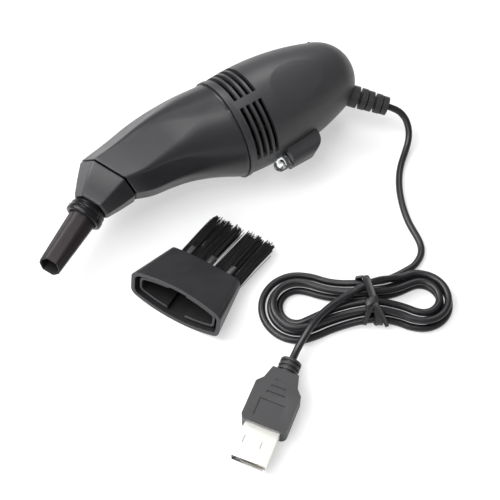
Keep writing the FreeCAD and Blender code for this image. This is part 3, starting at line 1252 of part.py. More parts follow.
# Brush head lying on the table

BRUSH_TILT = "atan((mouth_height - back_height) / (2 * brush_length))"
brush_tilt = number(BRUSH_TILT)
lean = Rotation(Vector(0, 1, 0), brush_tilt)
BRUSH = Placement(Vector(v.brush_x, v.brush_y, v.mouth_height / 2 * math.cos(math.radians(brush_tilt))),
                  Rotation(Z_AXIS, v.brush_angle).multiply(lean))


END_INSET_SHARE = 0.8
# Corner rounding as a share of the half end
CORNER_SHARE = 0.7


def lens(along, width, height, end, inset=0.0):
    """Outline across the brush head: curved top and bottom, blunt ends with round corners."""
    half = width / 2 - inset
    crown = height / 2 - inset
    blunt = end / 2 - inset * END_INSET_SHARE
    arc = (half ** 2 + (crown - blunt) ** 2) / (2 * (crown - blunt))
    corner = min(v.head_round, blunt * CORNER_SHARE)
    middle = math.sqrt((arc - corner) ** 2 - (half - corner) ** 2) + crown - arc
    turn = math.atan2(middle - crown + arc, half - corner)
    meet = Vector(0, half - corner + corner * math.cos(turn), middle + corner * math.sin(turn))
    bulge = Vector(0, half - corner + corner * math.cos(turn / 2), middle + corner * math.sin(turn / 2))
    quarter = [Vector(0, half, middle), bulge, meet, Vector(0, 0, crown)]
    over_side = [Vector(0, -point.y, point.z) for point in quarter[::-1]]
    under_side = [Vector(0, -point.y, -point.z) for point in quarter]
    low_side = [Vector(0, point.y, -point.z) for point in quarter[::-1]]
    ring = quarter + over_side[1:] + under_side + low_side[1:]
    spots = [BRUSH.multVec(Vector(along, point.y, point.z)) for point in ring]
    edges = [
        Part.Arc(spots[0], spots[1], spots[2]).toShape(), Part.Arc(spots[2], spots[3], spots[4]).toShape(),
        Part.Arc(spots[4], spots[5], spots[6]).toShape(), Part.LineSegment(spots[6], spots[7]).toShape(),
        Part.Arc(spots[7], spots[8], spots[9]).toShape(), Part.Arc(spots[9], spots[10], spots[11]).toShape(),
        Part.Arc(spots[11], spots[12], spots[13]).toShape(),
        Part.LineSegment(spots[13], spots[0]).toShape(),
    ]
    return Part.Wire(edges)


def head_size(share):
    """Width, height and end height at a share of the length."""
    return (v.mouth_width + (v.back_width - v.mouth_width) * share,
            v.mouth_height + (v.back_height - v.mouth_height) * share,
            v.mouth_end + (v.back_end - v.mouth_end) * share)


def head_solid(start, end, inset):
    """Part of the head between two distances from its mouth."""
    wires = [lens(along, *head_size(along / v.brush_length), inset) for along in (start, end)]
    return Part.makeLoft(wires, True, True)


head = head_solid(0.0, v.brush_length, 0.0)
space = head_solid(0.0, v.brush_length - v.back_wall, v.brush_wall)
rib_out = head_solid(v.rib_set, v.brush_length - v.back_wall, v.rib_inset)
rib_in = head_solid(v.rib_set, v.brush_length - v.back_wall, v.rib_inset + v.rib_wall)
gap_block = Part.makeBox(v.brush_length, v.rib_gap, 2 * v.mouth_height,
                         Vector(0, -v.rib_gap / 2, -v.mouth_height))
gap_block.Placement = BRUSH.multiply(gap_block.Placement)
ribs = rib_out.cut(rib_in).cut(gap_block)
back = BRUSH.multVec(Vector(v.brush_length, 0, 0))
TUFTS = Placement(Vector(back.x, back.y, back.z), Rotation(Z_AXIS, v.brush_angle))
TUFT_TURN = Placement(Vector(), Rotation(Z_AXIS, v.tuft_turn))
tufts = []
for tuft in range(int(v.tuft_count)):
    right = v.tuft_first + tuft * v.tuft_pitch + (v.tuft_split if tuft >= v.tuft_count / 2 else 0.0)
    root = Placement(Vector(0, -right, 0), Rotation())
    block = Part.makeBox(v.tuft_length + v.socket_depth, v.tuft_width, v.tuft_height,
                         Vector(-v.socket_depth, -v.tuft_width / 2, -v.tuft_height / 2))
    block.Placement = TUFTS.multiply(root).multiply(TUFT_TURN).multiply(block.Placement)
    tufts.append(block)
tuft_set = Part.makeCompound(tufts)
head_shape = head.cut(space).fuse(ribs).cut(tuft_set).removeSplitter()
node(shaped("brush_shell", head_shape), "brush_head")
node(shaped("tuft_blocks", tuft_set), "brush_tufts")

# Check and hand over every sub-part

doc.recompute()
os.makedirs("parts", exist_ok=True)
faulty = [item.Name for item in doc.Objects if "Invalid" in item.State or "Error" in item.State]
if faulty:
    raise RuntimeError("in error: " + ", ".join(faulty))
for label, item in NODES.items():
    shape = item.Shape
    if shape.isNull() or not shape.isValid() or not shape.Solids:
        raise RuntimeError("%s has no valid solid" % label)
    shape.exportStep("parts/%s.step" % label)
    print("%-16s solids %d volume %.1f" % (label, len(shape.Solids), shape.Volume))
print("%d sub-parts" % len(NODES))
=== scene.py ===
"""Desktop mini vacuum cleaner with its USB lead and brush head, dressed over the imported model."""

from __future__ import annotations

import logging
from dataclasses import dataclass
from enum import Enum
from math import atan2, cos, exp, pi, radians, sin, tan
from typing import Any, Sequence

import bmesh
import bpy
from bpy.types import Material, Mesh, Node, NodeSocket, Object
from mathutils import Matrix, Vector
from mathutils.bvhtree import BVHTree

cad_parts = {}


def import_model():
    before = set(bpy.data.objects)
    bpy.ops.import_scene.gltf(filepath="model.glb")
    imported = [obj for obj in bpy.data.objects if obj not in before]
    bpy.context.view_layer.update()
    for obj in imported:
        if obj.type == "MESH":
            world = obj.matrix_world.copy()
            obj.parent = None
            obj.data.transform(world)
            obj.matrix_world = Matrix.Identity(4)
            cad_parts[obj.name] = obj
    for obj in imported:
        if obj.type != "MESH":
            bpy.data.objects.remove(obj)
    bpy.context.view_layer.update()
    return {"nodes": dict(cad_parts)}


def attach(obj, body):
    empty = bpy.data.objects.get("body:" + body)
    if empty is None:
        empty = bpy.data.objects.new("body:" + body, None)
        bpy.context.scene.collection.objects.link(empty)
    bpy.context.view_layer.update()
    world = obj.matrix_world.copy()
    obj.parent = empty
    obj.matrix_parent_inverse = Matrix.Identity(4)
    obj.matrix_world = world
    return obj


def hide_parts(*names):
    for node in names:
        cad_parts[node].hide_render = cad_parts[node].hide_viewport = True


logging.basicConfig(level=logging.INFO, format="%(message)s")
log = logging.getLogger("desk_vacuum")

MM = 0.001
X_AXIS = Vector((1.0, 0.0, 0.0))
Y_AXIS = Vector((0.0, 1.0, 0.0))
Pair = tuple[float, float]
Triple = tuple[float, float, float]


class Body(Enum):
    """Rigid bodies that the pieces ride on."""

    HOUSING = "housing"
    SWITCH = "switch"
    CHAMBER = "chamber"
    TUBE = "tube"
    BRUSH = "brush"


# Node trees


class Tree:
    """A node tree, built from short calls."""

    def __init__(self, tree: bpy.types.NodeTree) -> None:
        """Empties a tree and keeps it."""
        self.tree = tree
        tree.nodes.clear()

    def node(self, kind: str, settings: dict[str, Any] | None = None, **sockets: Any) -> Node:
        """Adds a node.

        Args:
            kind: type of the node.
            settings: properties of the node, set before its sockets.
            sockets: values or links by socket name, with _ for a space, or in_N by place.

        Returns:
            The new node.
        """
        made = self.tree.nodes.new(kind)
        for name, value in (settings or {}).items():
            setattr(made, name, value)
        for name, value in sockets.items():
            place = int(name[3:]) if name.startswith("in_") else name.replace("_", " ")
            self.feed(made.inputs[place], value)
        return made

    def feed(self, socket: NodeSocket, value: Any) -> None:
        """Sets a socket to a value, or links it.

        Args:
            socket: input to set.
            value: number, colour, vector, material or link.
        """
        if isinstance(value, Socket):
            value = value.socket
        if isinstance(value, NodeSocket):
            self.tree.links.new(value, socket)
        elif isinstance(value, tuple) and len(value) == 3 and socket.type == "RGBA":
            socket.default_value = (*value, 1.0)
        else:
            socket.default_value = value


class Graph(Tree):
    """The shader of a material or world."""

    def __init__(self, holder: Material | bpy.types.World) -> None:
        """Empties the tree of a material or world."""
        holder.use_nodes = True
        super().__init__(holder.node_tree)

    def place(self) -> Socket:
        """Object coordinates."""
        return Socket(self, self.node("ShaderNodeTexCoord").outputs["Object"])

    def rays(self, *kinds: str) -> Socket:
        """Tells the rays of some kinds from all others.

        Args:
            kinds: outputs of the light path node.

        Returns:
            1 for a ray of one of the kinds, else 0.
        """
        outputs = self.node("ShaderNodeLightPath").outputs
        total = Socket(self, outputs[kinds[0]])
        for kind in kinds[1:]:
            total = total + Socket(self, outputs[kind])
        return total

    def noise(self, scale: float, detail: float = 3.0, rough: float = 0.5,
              at: Socket | None = None) -> Socket:
        """Grey noise of a scale in cycles per metre."""
        made = self.node("ShaderNodeTexNoise", Vector=at or self.place(), Scale=scale, Detail=detail,
                         Roughness=rough)
        return Socket(self, made.outputs[0])

    def streaks(self, scale: Triple, detail: float = 3.0, rough: float = 0.55) -> Socket:
        """Grey noise drawn out along the axes with the smaller scales, in cycles per metre."""
        drawn = self.node("ShaderNodeMapping", Vector=self.place(), Scale=scale)
        return self.noise(1.0, detail, rough, Socket(self, drawn.outputs[0]))

    def ramp(self, value: Socket, band: Pair) -> Socket:
        """Grey that rises from 0 to 1 over a band of a value.

        Args:
            value: the value.
            band: both ends of the band.

        Returns:
            The grey.
        """
        made = self.node("ShaderNodeValToRGB", in_0=value)
        for element, position in zip(made.color_ramp.elements, band):
            element.position = position
        return Socket(self, made.outputs[0])

    def mix(self, share: Socket | float, first: Any, second: Any) -> Socket:
        """Mix of two colours."""
        made = self.node("ShaderNodeMix", {"data_type": "RGBA"}, in_0=share, in_6=first, in_7=second)
        return Socket(self, made.outputs[2])

    def bump(self, height: Socket, depth: float) -> Socket:
        """Normal from a height of a depth in metres."""
        made = self.node("ShaderNodeBump", Strength=1.0, Distance=depth, Height=height)
        return Socket(self, made.outputs[0])

    def finish(self, shader: Node, output: str = "ShaderNodeOutputMaterial") -> None:
        """Sends a shader to the output."""
        self.node(output, in_0=shader.outputs[0])


class Socket:
    """A number or colour in a shader, with arithmetic."""

    def __init__(self, graph: Graph, socket: NodeSocket) -> None:
        """Wraps a socket of a graph."""
        self.graph = graph
        self.socket = socket

    def _math(self, operation: str, first: Any, second: Any) -> Socket:
        """Adds a Math node."""
        made = self.graph.node("ShaderNodeMath", {"operation": operation}, in_0=first, in_1=second)
        return Socket(self.graph, made.outputs[0])

    def __add__(self, other: Any) -> Socket:
        """Sum."""
        return self._math("ADD", self, other)

    __radd__ = __add__

    def __mul__(self, other: Any) -> Socket:
        """Product."""
        return self._math("MULTIPLY", self, other)

    __rmul__ = __mul__

    def __sub__(self, other: Any) -> Socket:
        """Difference."""
        return self._math("SUBTRACT", self, other)

    def __rsub__(self, other: Any) -> Socket:
        """Difference from a number."""
        return self._math("SUBTRACT", other, self)


# Paler tone of a moulding against its own, which its random clouds and painted sheen streaks lean to, and
# the tone of its dust
PALER = 1.4
PALER_BY = 0.003
DUST = (0.2, 0.195, 0.19)


@dataclass(frozen=True)
class Moulding:
    """Moulded or rubber surface with a fine texture, drawn streaks with painted sheen, handling marks and
    dust.

    Its clouds, specks and marks are noises, each given by scale, detail and roughness.
    """

    name: str
    tone: Triple
    roughness: float = 0.42
    spread: float = 0.08
    texture: float = 2400.0
    depth: float = 0.000012
    dust: float = 0.06
    drawn: Triple = (60.0, 260.0, 260.0)
    specular: float = 0.5
    clouds: Triple = (95.0, 4.0, 0.6)
    cloud_share: float = 0.5
    painted_sheen_share: float = 0.3
    specks: Triple = (1500.0, 5.0, 0.7)
    speck_band: Pair = (0.69, 0.78)
    speck_spread: float = 0.1
    marks: Triple = (260.0, 6.0, 0.65)
    mark_band: Pair = (0.42, 0.72)

    def make(self) -> Material:
        """Builds the material.

        Returns:
            The new material.
        """
        material = bpy.data.materials.new(self.name)
        graph = Graph(material)
        clouds = graph.noise(*self.clouds)
        grain = graph.noise(self.texture, 2.0, 0.5)
        sheen = graph.streaks(self.drawn)
        specks = graph.ramp(graph.noise(*self.specks), self.speck_band)
        marks = graph.ramp(graph.noise(*self.marks), self.mark_band)
        pale = tuple(min(1.0, part * PALER + PALER_BY) for part in self.tone)
        # Random clouds pale the tone, and the drawn streaks paint sheen into it
        tone = graph.mix(clouds * self.cloud_share + sheen * self.painted_sheen_share, self.tone, pale)
        tone = graph.mix(specks * self.dust, tone, DUST)
        rough = self.roughness - self.spread + (sheen + marks) * self.spread + specks * self.speck_spread
        shader = graph.node("ShaderNodeBsdfPrincipled", Base_Color=tone, Roughness=rough,
                            Normal=graph.bump(grain, self.depth))
        shader.inputs["Specular IOR Level"].default_value = self.specular
        graph.finish(shader)
        return material


@dataclass(frozen=True)
class Metal:
    """Bare metal with fine lines along one direction and faint tarnish."""

    name: str
    tone: Triple
    roughness: float = 0.28
    stretch: Triple = (400.0, 3000.0, 3000.0)
    stain: float = 0.5
    tarnish: float = 0.8
    blots: Triple = (330.0, 5.0, 0.6)
    blot_band: Pair = (0.45, 0.75)
    blot_spread: float = 0.16
    smoother: float = 0.05
    line_spread: float = 0.12
    line_depth: float = 0.000006

    def make(self) -> Material:
        """Builds the material.

        Returns:
            The new material.
        """
        material = bpy.data.materials.new(self.name)
        graph = Graph(material)
        drawn = graph.streaks(self.stretch, 4.0, 0.6)
        stain = graph.ramp(graph.noise(*self.blots), self.blot_band)
        dull = tuple(part * self.tarnish for part in self.tone)
        tone = graph.mix(stain * self.stain, self.tone, dull)
        rough = (self.roughness - self.smoother + drawn * self.line_spread
                 + stain * self.blot_spread * self.stain)
        shader = graph.node("ShaderNodeBsdfPrincipled", Base_Color=tone, Metallic=1.0, Roughness=rough,
                            Normal=graph.bump(drawn, self.line_depth))
        graph.finish(shader)
        return material


@dataclass(frozen=True)
class ClearResin:
    """Clear cast resin of the lamp's lens."""

    name: str

    def make(self) -> Material:
        """Builds the material.

        Returns:
            The new material.
        """
        material = bpy.data.materials.new(self.name)
        graph = Graph(material)
        haze = graph.noise(900.0, 3.0)
        shader = graph.node("ShaderNodeBsdfPrincipled", Base_Color=(0.95, 0.97, 0.98),
                            Roughness=0.03 + haze * 0.05)
        shader.inputs["Transmission Weight"].default_value = 1.0
        shader.inputs["IOR"].default_value = 1.5
        graph.finish(shader)
        return material


@dataclass(frozen=True)
class Palette:
    """Every finish of the object."""

    shell: Moulding = Moulding("shell_satin_black", (0.0135, 0.0135, 0.0152), 0.34, 0.06, 2600.0, 0.000007,
                               0.05, specular=0.42)
    rear_shell: Moulding = Moulding("rear_shell_matt_black", (0.020, 0.020, 0.0218), 0.45, 0.05, 2200.0,
                                    0.000016)
    collar: Moulding = Moulding("collar_gloss_black", (0.005, 0.005, 0.006), 0.26, 0.06, 1800.0, 0.000006,
                                specular=0.22)
    spout: Moulding = Moulding("tube_brown_black", (0.0110, 0.0076, 0.0083), 0.42, 0.06, 1800.0, 0.000008,
                               drawn=(90.0, 300.0, 300.0), specular=0.22)
    # Near-black painted shade of inner walls, hollows and the parts inside the housing
    inside: Moulding = Moulding("inside_painted_shade_black", (0.004, 0.004, 0.0045), 0.6, 0.1, 1800.0, 0.000012, 0.0,
                                specular=0.2)
    rubber: Moulding = Moulding("rubber_black", (0.010, 0.010, 0.011), 0.5, 0.08, 3000.0, 0.000014, 0.1)
    sheath: Moulding = Moulding("lead_sheath_black", (0.0058, 0.0058, 0.0070), 0.36, 0.06, 2600.0, 0.000007,
                                0.05, specular=0.4)
    plug: Moulding = Moulding("plug_black", (0.0175, 0.0175, 0.0192), 0.5, 0.06, 2600.0, 0.000014, 0.06)
    brush: Moulding = Moulding("brush_head_black", (0.0108, 0.0108, 0.0132), 0.4, 0.06, 2000.0, 0.000014)
    sleeve: Moulding = Moulding("tuft_sleeve_grey", (0.03, 0.03, 0.032), 0.4, 0.06, 2000.0, 0.000010)
    bristle: Moulding = Moulding("bristle_black", (0.006, 0.006, 0.0066), 0.42, 0.08, 2000.0, 0.000002, 0.0,
                                 specular=0.3)
    cream: Moulding = Moulding("end_bell_cream", (0.62, 0.59, 0.5), 0.45)
    pale: Moulding = Moulding("fan_grey", (0.42, 0.42, 0.4), 0.45)
    # Grey painted shade on the white insert deep inside the plug shell
    white: Moulding = Moulding("insert_white_painted_shade", (0.5, 0.495, 0.475), 0.4)
    cloth: Moulding = Moulding("filter_cloth", (0.72, 0.71, 0.67), 0.85, 0.1, 1500.0, 0.00008, 0.5)
    ferrite: Moulding = Moulding("magnet_grey", (0.06, 0.06, 0.065), 0.55, 0.1, 1500.0, 0.00002)
    carbon: Moulding = Moulding("carbon_black", (0.03, 0.03, 0.032), 0.6, 0.1, 1500.0, 0.00002)
    resistor: Moulding = Moulding("resistor_tan", (0.55, 0.4, 0.22), 0.4)
    steel: Metal = Metal("plated_steel", (0.62, 0.62, 0.61), 0.3)
    nickel: Metal = Metal("plug_nickel", (0.92, 0.905, 0.86), 0.3, stain=0.12)
    gold: Metal = Metal("contact_gold", (0.83, 0.62, 0.28), 0.25)
    copper: Metal = Metal("winding_copper", (0.62, 0.28, 0.12), 0.35)
    bronze: Metal = Metal("bush_bronze", (0.5, 0.34, 0.17), 0.42)
    resin: ClearResin = ClearResin("lamp_resin")


PALETTE = Palette()


# Mesh building

# Least angle of an edge that stays sharp in the shading, in degrees
SHARP = 38.0

# Looks around a face, in radians off its normal, the steps round it, how far off it they start in
# millimetres, and the share that must meet the piece for the face to count as sheltered and get painted
# shade
LEANS = (0.5, 1.0)
AROUND = 6
OFF = 0.05
SHELTERED = 0.38

# Points closer than this, in millimetres, are one, and faces within this angle, in degrees, are flat
MERGE = 0.002
FLAT = 0.4


def linked(name: str, data: bpy.types.ID) -> Object:
    """New object of a name with its data, in the scene."""
    made = bpy.data.objects.new(name, data)
    bpy.context.scene.collection.objects.link(made)
    return made


def spin(degrees: float, axis: str | Vector = "Z", size: int = 3) -> Matrix:
    """Rotation by an angle in degrees about an axis."""
    return Matrix.Rotation(radians(degrees), size, axis)


def circle(count: int) -> list[Pair]:
    """Cosine and sine of even steps round a circle."""
    return [(cos(2 * pi * step / count), sin(2 * pi * step / count)) for step in range(count)]


def painted(mesh: Mesh, material: Material, smooth: bool = True) -> None:
    """Gives all faces of a mesh one material and one kind of shading.

    Args:
        mesh: the mesh.
        material: its material.
        smooth: whether its faces are shaded smooth.
    """
    mesh.materials.clear()
    mesh.materials.append(material)
    for polygon in mesh.polygons:
        polygon.use_smooth = smooth
        polygon.material_index = 0


def piece(name: str, mesh: Mesh, material: Material, smooth: bool = True) -> Object:
    """Links a mesh as an object with a material.

    Args:
        name: name of the piece.
        mesh: its mesh, in place.
        material: its material.
        smooth: whether its faces are shaded smooth.

    Returns:
        The new object.
    """
    painted(mesh, material, smooth)
    if smooth:
        mesh.set_sharp_from_angle(angle=radians(SHARP))
    return linked(name, mesh)


def rings_mesh(name: str, rings: Sequence[Sequence[Vector]], caps: bool = False,
               loop: bool = False) -> Mesh:
    """Skin over closed rings of equal length.

    Args:
        name: name of the mesh.
        rings: rings of points, in order.
        caps: whether the first and last rings get a cap.
        loop: whether the last ring joins the first.

    Returns:
        The mesh, with faces outwards.
    """
    work = bmesh.new()
    rows = [[work.verts.new(point) for point in ring] for ring in rings]
    pairs = list(zip(rows, rows[1:])) + ([(rows[-1], rows[0])] if loop else [])
    for low, high in pairs:
        for index in range(len(low)):
            after = (index + 1) % len(low)
            work.faces.new((low[index], low[after], high[after], high[index]))
    for row in (rows[0], rows[-1]) if caps else ():
        middle = work.verts.new(sum((vert.co for vert in row), Vector()) / len(row))
        for index in range(len(row)):
            work.faces.new((row[index], row[(index + 1) % len(row)], middle))
    bmesh.ops.recalc_face_normals(work, faces=work.faces)
    mesh = bpy.data.meshes.new(name)
    work.to_mesh(mesh)
    work.free()
    return mesh


def baked(source: Object) -> Object:
    """Turns an object with modifiers into a plain mesh object.

    Args:
        source: the object, which is removed.

    Returns:
        Object of the same name.
    """
    name = source.name
    graph = bpy.context.evaluated_depsgraph_get()
    mesh = bpy.data.meshes.new_from_object(source.evaluated_get(graph), depsgraph=graph)
    bpy.data.objects.remove(source)
    mesh.name = name
    return linked(name, mesh)


def bevelled(made: Object, width: float, segments: int = 2, angle: float = 30.0,
             weigh: bool = True) -> Object:
    """Rounds the sharp edges of a piece.

    Args:
        made: the piece.
        width: width of the rounding in millimetres.
        segments: faces across the rounding.
        angle: least angle of an edge that is rounded, in degrees.
        weigh: whether the shading follows the larger faces.

    Returns:
        The rounded piece.
    """
    rounding = made.modifiers.new("rounding", "BEVEL")
    rounding.width = width * MM
    rounding.segments = segments
    rounding.limit_method = "ANGLE"
    rounding.angle_limit = radians(angle)
    if weigh:
        made.modifiers.new("shading", "WEIGHTED_NORMAL").keep_sharp = True
    return baked(made)


def round_rims(work: bmesh.types.BMesh, width: float, wall: float) -> None:
    """Rounds the edges between flat tops and walls that are higher than a set size.

    Args:
        work: mesh to change.
        width: width of the rounding in millimetres.
        wall: least height of such a wall in millimetres.
    """
    level, steep = 0.95, 0.3
    edges = []
    for edge in work.edges:
        if len(edge.link_faces) != 2:
            continue
        flat, upright = sorted(edge.link_faces, key=lambda face: -abs(face.normal.z))
        heights = [vertex.co.z for vertex in upright.verts]
        high = max(heights) - min(heights) > wall * MM
        if high and abs(flat.normal.z) > level and abs(upright.normal.z) < steep:
            edges.append(edge)
    bmesh.ops.bevel(work, geom=edges, offset=width * MM, segments=3, profile=0.5, affect="EDGES",
                    clamp_overlap=True)


def softened(source: Object, name: str, material: Material, width: float, rim: float = 0.0,
             rim_wall: float = 1.2) -> Object:
    """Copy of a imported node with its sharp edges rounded.

    Args:
        source: the node's object.
        name: name of the piece.
        material: its material.
        width: width of the rounding in millimetres.
        rim: width of a wider rounding round its flat top, in millimetres, or 0.
        rim_wall: least height of the walls under that rounding, in millimetres.

    Returns:
        The new piece.
    """
    work = bmesh.new()
    work.from_mesh(source.data)
    bmesh.ops.remove_doubles(work, verts=work.verts, dist=MERGE * MM)
    bmesh.ops.dissolve_limit(work, angle_limit=radians(FLAT), verts=work.verts, edges=work.edges)
    bmesh.ops.recalc_face_normals(work, faces=work.faces)
    if rim:
        round_rims(work, rim, rim_wall)
    mesh = bpy.data.meshes.new(name)
    work.to_mesh(mesh)
    work.free()
    return bevelled(piece(name, mesh, material), width)


def paint_hollow_shade(made: Object, material: Material, reach: float) -> None:
    """Paints shade on the faces that look at another part of the same piece, as a second material.

    Args:
        made: the piece.
        material: material of the painted shade.
        reach: how far away the facing part may be, in millimetres.
    """
    tree = BVHTree.FromPolygons([vertex.co for vertex in made.data.vertices],
                                [tuple(polygon.vertices) for polygon in made.data.polygons])
    made.data.materials.append(material)
    for polygon in made.data.polygons:
        side = polygon.normal.orthogonal().normalized()
        start = polygon.center + polygon.normal * OFF * MM
        looks = [polygon.normal]
        for lean in LEANS:
            for step in range(AROUND):
                turn = Matrix.Rotation(2 * pi * step / AROUND, 3, polygon.normal)
                looks.append(turn @ (polygon.normal * cos(lean) + side * sin(lean)))
        met = sum(tree.ray_cast(start, look, reach * MM)[0] is not None for look in looks)
        # Faces hemmed in by the piece get the painted shade
        if met > SHELTERED * len(looks):
            polygon.material_index = 1


def turned(name: str, profile: Sequence[Pair], spot: Matrix, material: Material, segments: int) -> Object:
    """Ring turned about the X axis of a place from a closed profile.

    Args:
        name: name of the piece.
        profile: distance and radius pairs in millimetres, in order.
        spot: place of the axis in millimetres.
        material: its material.
        segments: faces round the axis.

    Returns:
        The new piece.
    """
    rings = [[spot @ Vector((along, radius * out, radius * up)) * MM for out, up in circle(segments)]
             for along, radius in profile]
    return piece(name, rings_mesh(name, rings, loop=True), material)


def seat(made: Object, body: Body, slot: str, *nodes: str) -> Object:
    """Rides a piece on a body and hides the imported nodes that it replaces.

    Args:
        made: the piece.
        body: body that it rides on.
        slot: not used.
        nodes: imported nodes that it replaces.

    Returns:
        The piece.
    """
    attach(made, body.value)
    if nodes:
        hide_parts(*nodes)
    log.info("piece %s on %s", made.name, body.value)
    return made


# How the vacuum lies: rolled about its motor axis by degrees, and lifted onto its rest flat by millimetres
ROLL = 18.0
RAISED = 19.3
LIE = Matrix.Translation((0.0, 0.0, RAISED * MM)) @ spin(ROLL, "X", 4)
LIE_MM = Matrix.Translation((0.0, 0.0, RAISED)) @ spin(ROLL, "X", 4)


class Repeat(Tree):
    """Geometry Nodes tree that is applied to a patch and baked."""

    def __init__(self, name: str) -> None:
        """Starts a tree that takes and gives geometry."""
        super().__init__(bpy.data.node_groups.new(name, "GeometryNodeTree"))
        for way in ("INPUT", "OUTPUT"):
            self.tree.interface.new_socket("Geometry", in_out=way, socket_type="NodeSocketGeometry")
        self.inlet = self.node("NodeGroupInput")
        self.values: dict[str, Any] = {}

    def size(self, name: str, kind: str, value: Any) -> NodeSocket:
        """Adds a named input with the value that it will get.

        Args:
            name: name of the input.
            kind: type of its socket.
            value: its value.

        Returns:
            Output to link from.
        """
        item = self.tree.interface.new_socket(name, in_out="INPUT", socket_type=kind)
        self.values[item.identifier] = value
        return self.inlet.outputs[name]

    def bake(self, patch: Object, shape: NodeSocket, material: Material) -> Object:
        """Ends the tree and runs it on a patch.

        Args:
            patch: object that the tree starts from.
            shape: geometry to hand out.
            material: material of the result.

        Returns:
            The plain mesh object.
        """
        real = self.node("GeometryNodeRealizeInstances", in_0=shape)
        paint = self.node("GeometryNodeSetMaterial", Geometry=real.outputs[0], Material=material)
        self.node("NodeGroupOutput", in_0=paint.outputs[0])
        modifier = patch.modifiers.new("repeat", "NODES")
        modifier.node_group = self.tree
        for identifier, value in self.values.items():
            modifier[identifier] = value
        made = baked(patch)
        painted(made.data, material)
        return made


@dataclass
class Studio:
    """Camera, floor and lamps, in metres and watts."""

    eye: Triple = (-0.1389, -0.1903, 0.2922)
    aim: Triple = (-0.0363, -0.0394, 0.0)
    field_of_view: float = 30.0
    near: float = 0.01
    floor_half: float = 2.0
    paper: Triple = (0.86, 0.86, 0.865)
    white: Triple = (1.0, 1.0, 1.0)
    floor_glow: float = 0.5
    room_light: float = 0.26
    mirrored_share: float = 0.1
    lit: Triple = (0.0, -0.02, 0.0)
    boxes: tuple[tuple[str, Triple, float, float], ...] = (
        ("key_box", (-0.42, 0.42, 0.62), 0.58, 8.6), ("top_box", (-0.36, 0.0, 0.9), 0.6, 6.5),
        ("left_box", (-0.75, -0.25, 0.45), 0.35, 2.6), ("back_box", (0.50, 0.60, 0.85), 0.42, 4.2))

    def aimed(self, name: str, data: bpy.types.ID, spot: Triple, target: Triple) -> Object:
        """Links a camera or lamp.

        Args:
            name: its name.
            data: its data.
            spot: where it stands.
            target: what it looks at.

        Returns:
            The new object.
        """
        made = linked(name, data)
        made.location = spot
        made.rotation_euler = (Vector(target) - Vector(spot)).to_track_quat("-Z", "Y").to_euler()
        return made

    def camera(self) -> None:
        """Sets up the camera of the photograph."""
        data = bpy.data.cameras.new("camera")
        data.angle = radians(self.field_of_view)
        data.clip_start = self.near
        bpy.context.scene.camera = self.aimed("camera", data, self.eye, self.aim)

    def floor(self) -> None:
        """Lays a pale floor that shows white to the camera and keeps the shadows."""
        mesh = bpy.data.meshes.new("floor")
        half = self.floor_half
        mesh.from_pydata([(-half, -half, 0), (half, -half, 0), (half, half, 0), (-half, half, 0)], [],
                         [(0, 1, 2, 3)])
        material = bpy.data.materials.new("floor_white")
        graph = Graph(material)
        seen = graph.rays("Is Camera Ray", "Is Glossy Ray", "Is Transmission Ray")
        paper = graph.node("ShaderNodeBsdfDiffuse", Color=self.paper)
        glow = graph.node("ShaderNodeEmission", Color=self.white, Strength=1.0)
        graph.finish(graph.node("ShaderNodeMixShader", in_0=seen * self.floor_glow, in_1=paper.outputs[0],
                                in_2=glow.outputs[0]))
        piece("floor", mesh, material, False)

    def lamps(self) -> None:
        """Hangs the soft boxes."""
        for name, spot, size, power in self.boxes:
            data = bpy.data.lights.new(name, "AREA")
            data.shape = "SQUARE"
            data.size = size
            data.energy = power
            self.aimed(name, data, spot, self.lit)

    def world(self) -> None:
        """Sets the room: white to the camera, dim as a light and dimmer yet in reflections."""
        world = bpy.data.worlds.new("studio")
        bpy.context.scene.world = world
        graph = Graph(world)
        full = graph.node("ShaderNodeMath", {"operation": "MULTIPLY_ADD", "use_clamp": True},
                          in_0=graph.rays("Is Glossy Ray"), in_1=self.mirrored_share,
                          in_2=graph.rays("Is Camera Ray", "Is Transmission Ray"))
        strength = graph.node("ShaderNodeMapRange", in_0=full.outputs[0], in_3=self.room_light, in_4=1.0)
        sky = graph.node("ShaderNodeBackground", Color=self.white, Strength=strength.outputs[0])
        graph.finish(sky, "ShaderNodeOutputWorld")

    def build(self) -> None:
        """Builds the whole studio."""
        bpy.context.scene.view_settings.view_transform = "Standard"
        self.camera()
        self.floor()
        self.lamps()
        self.world()


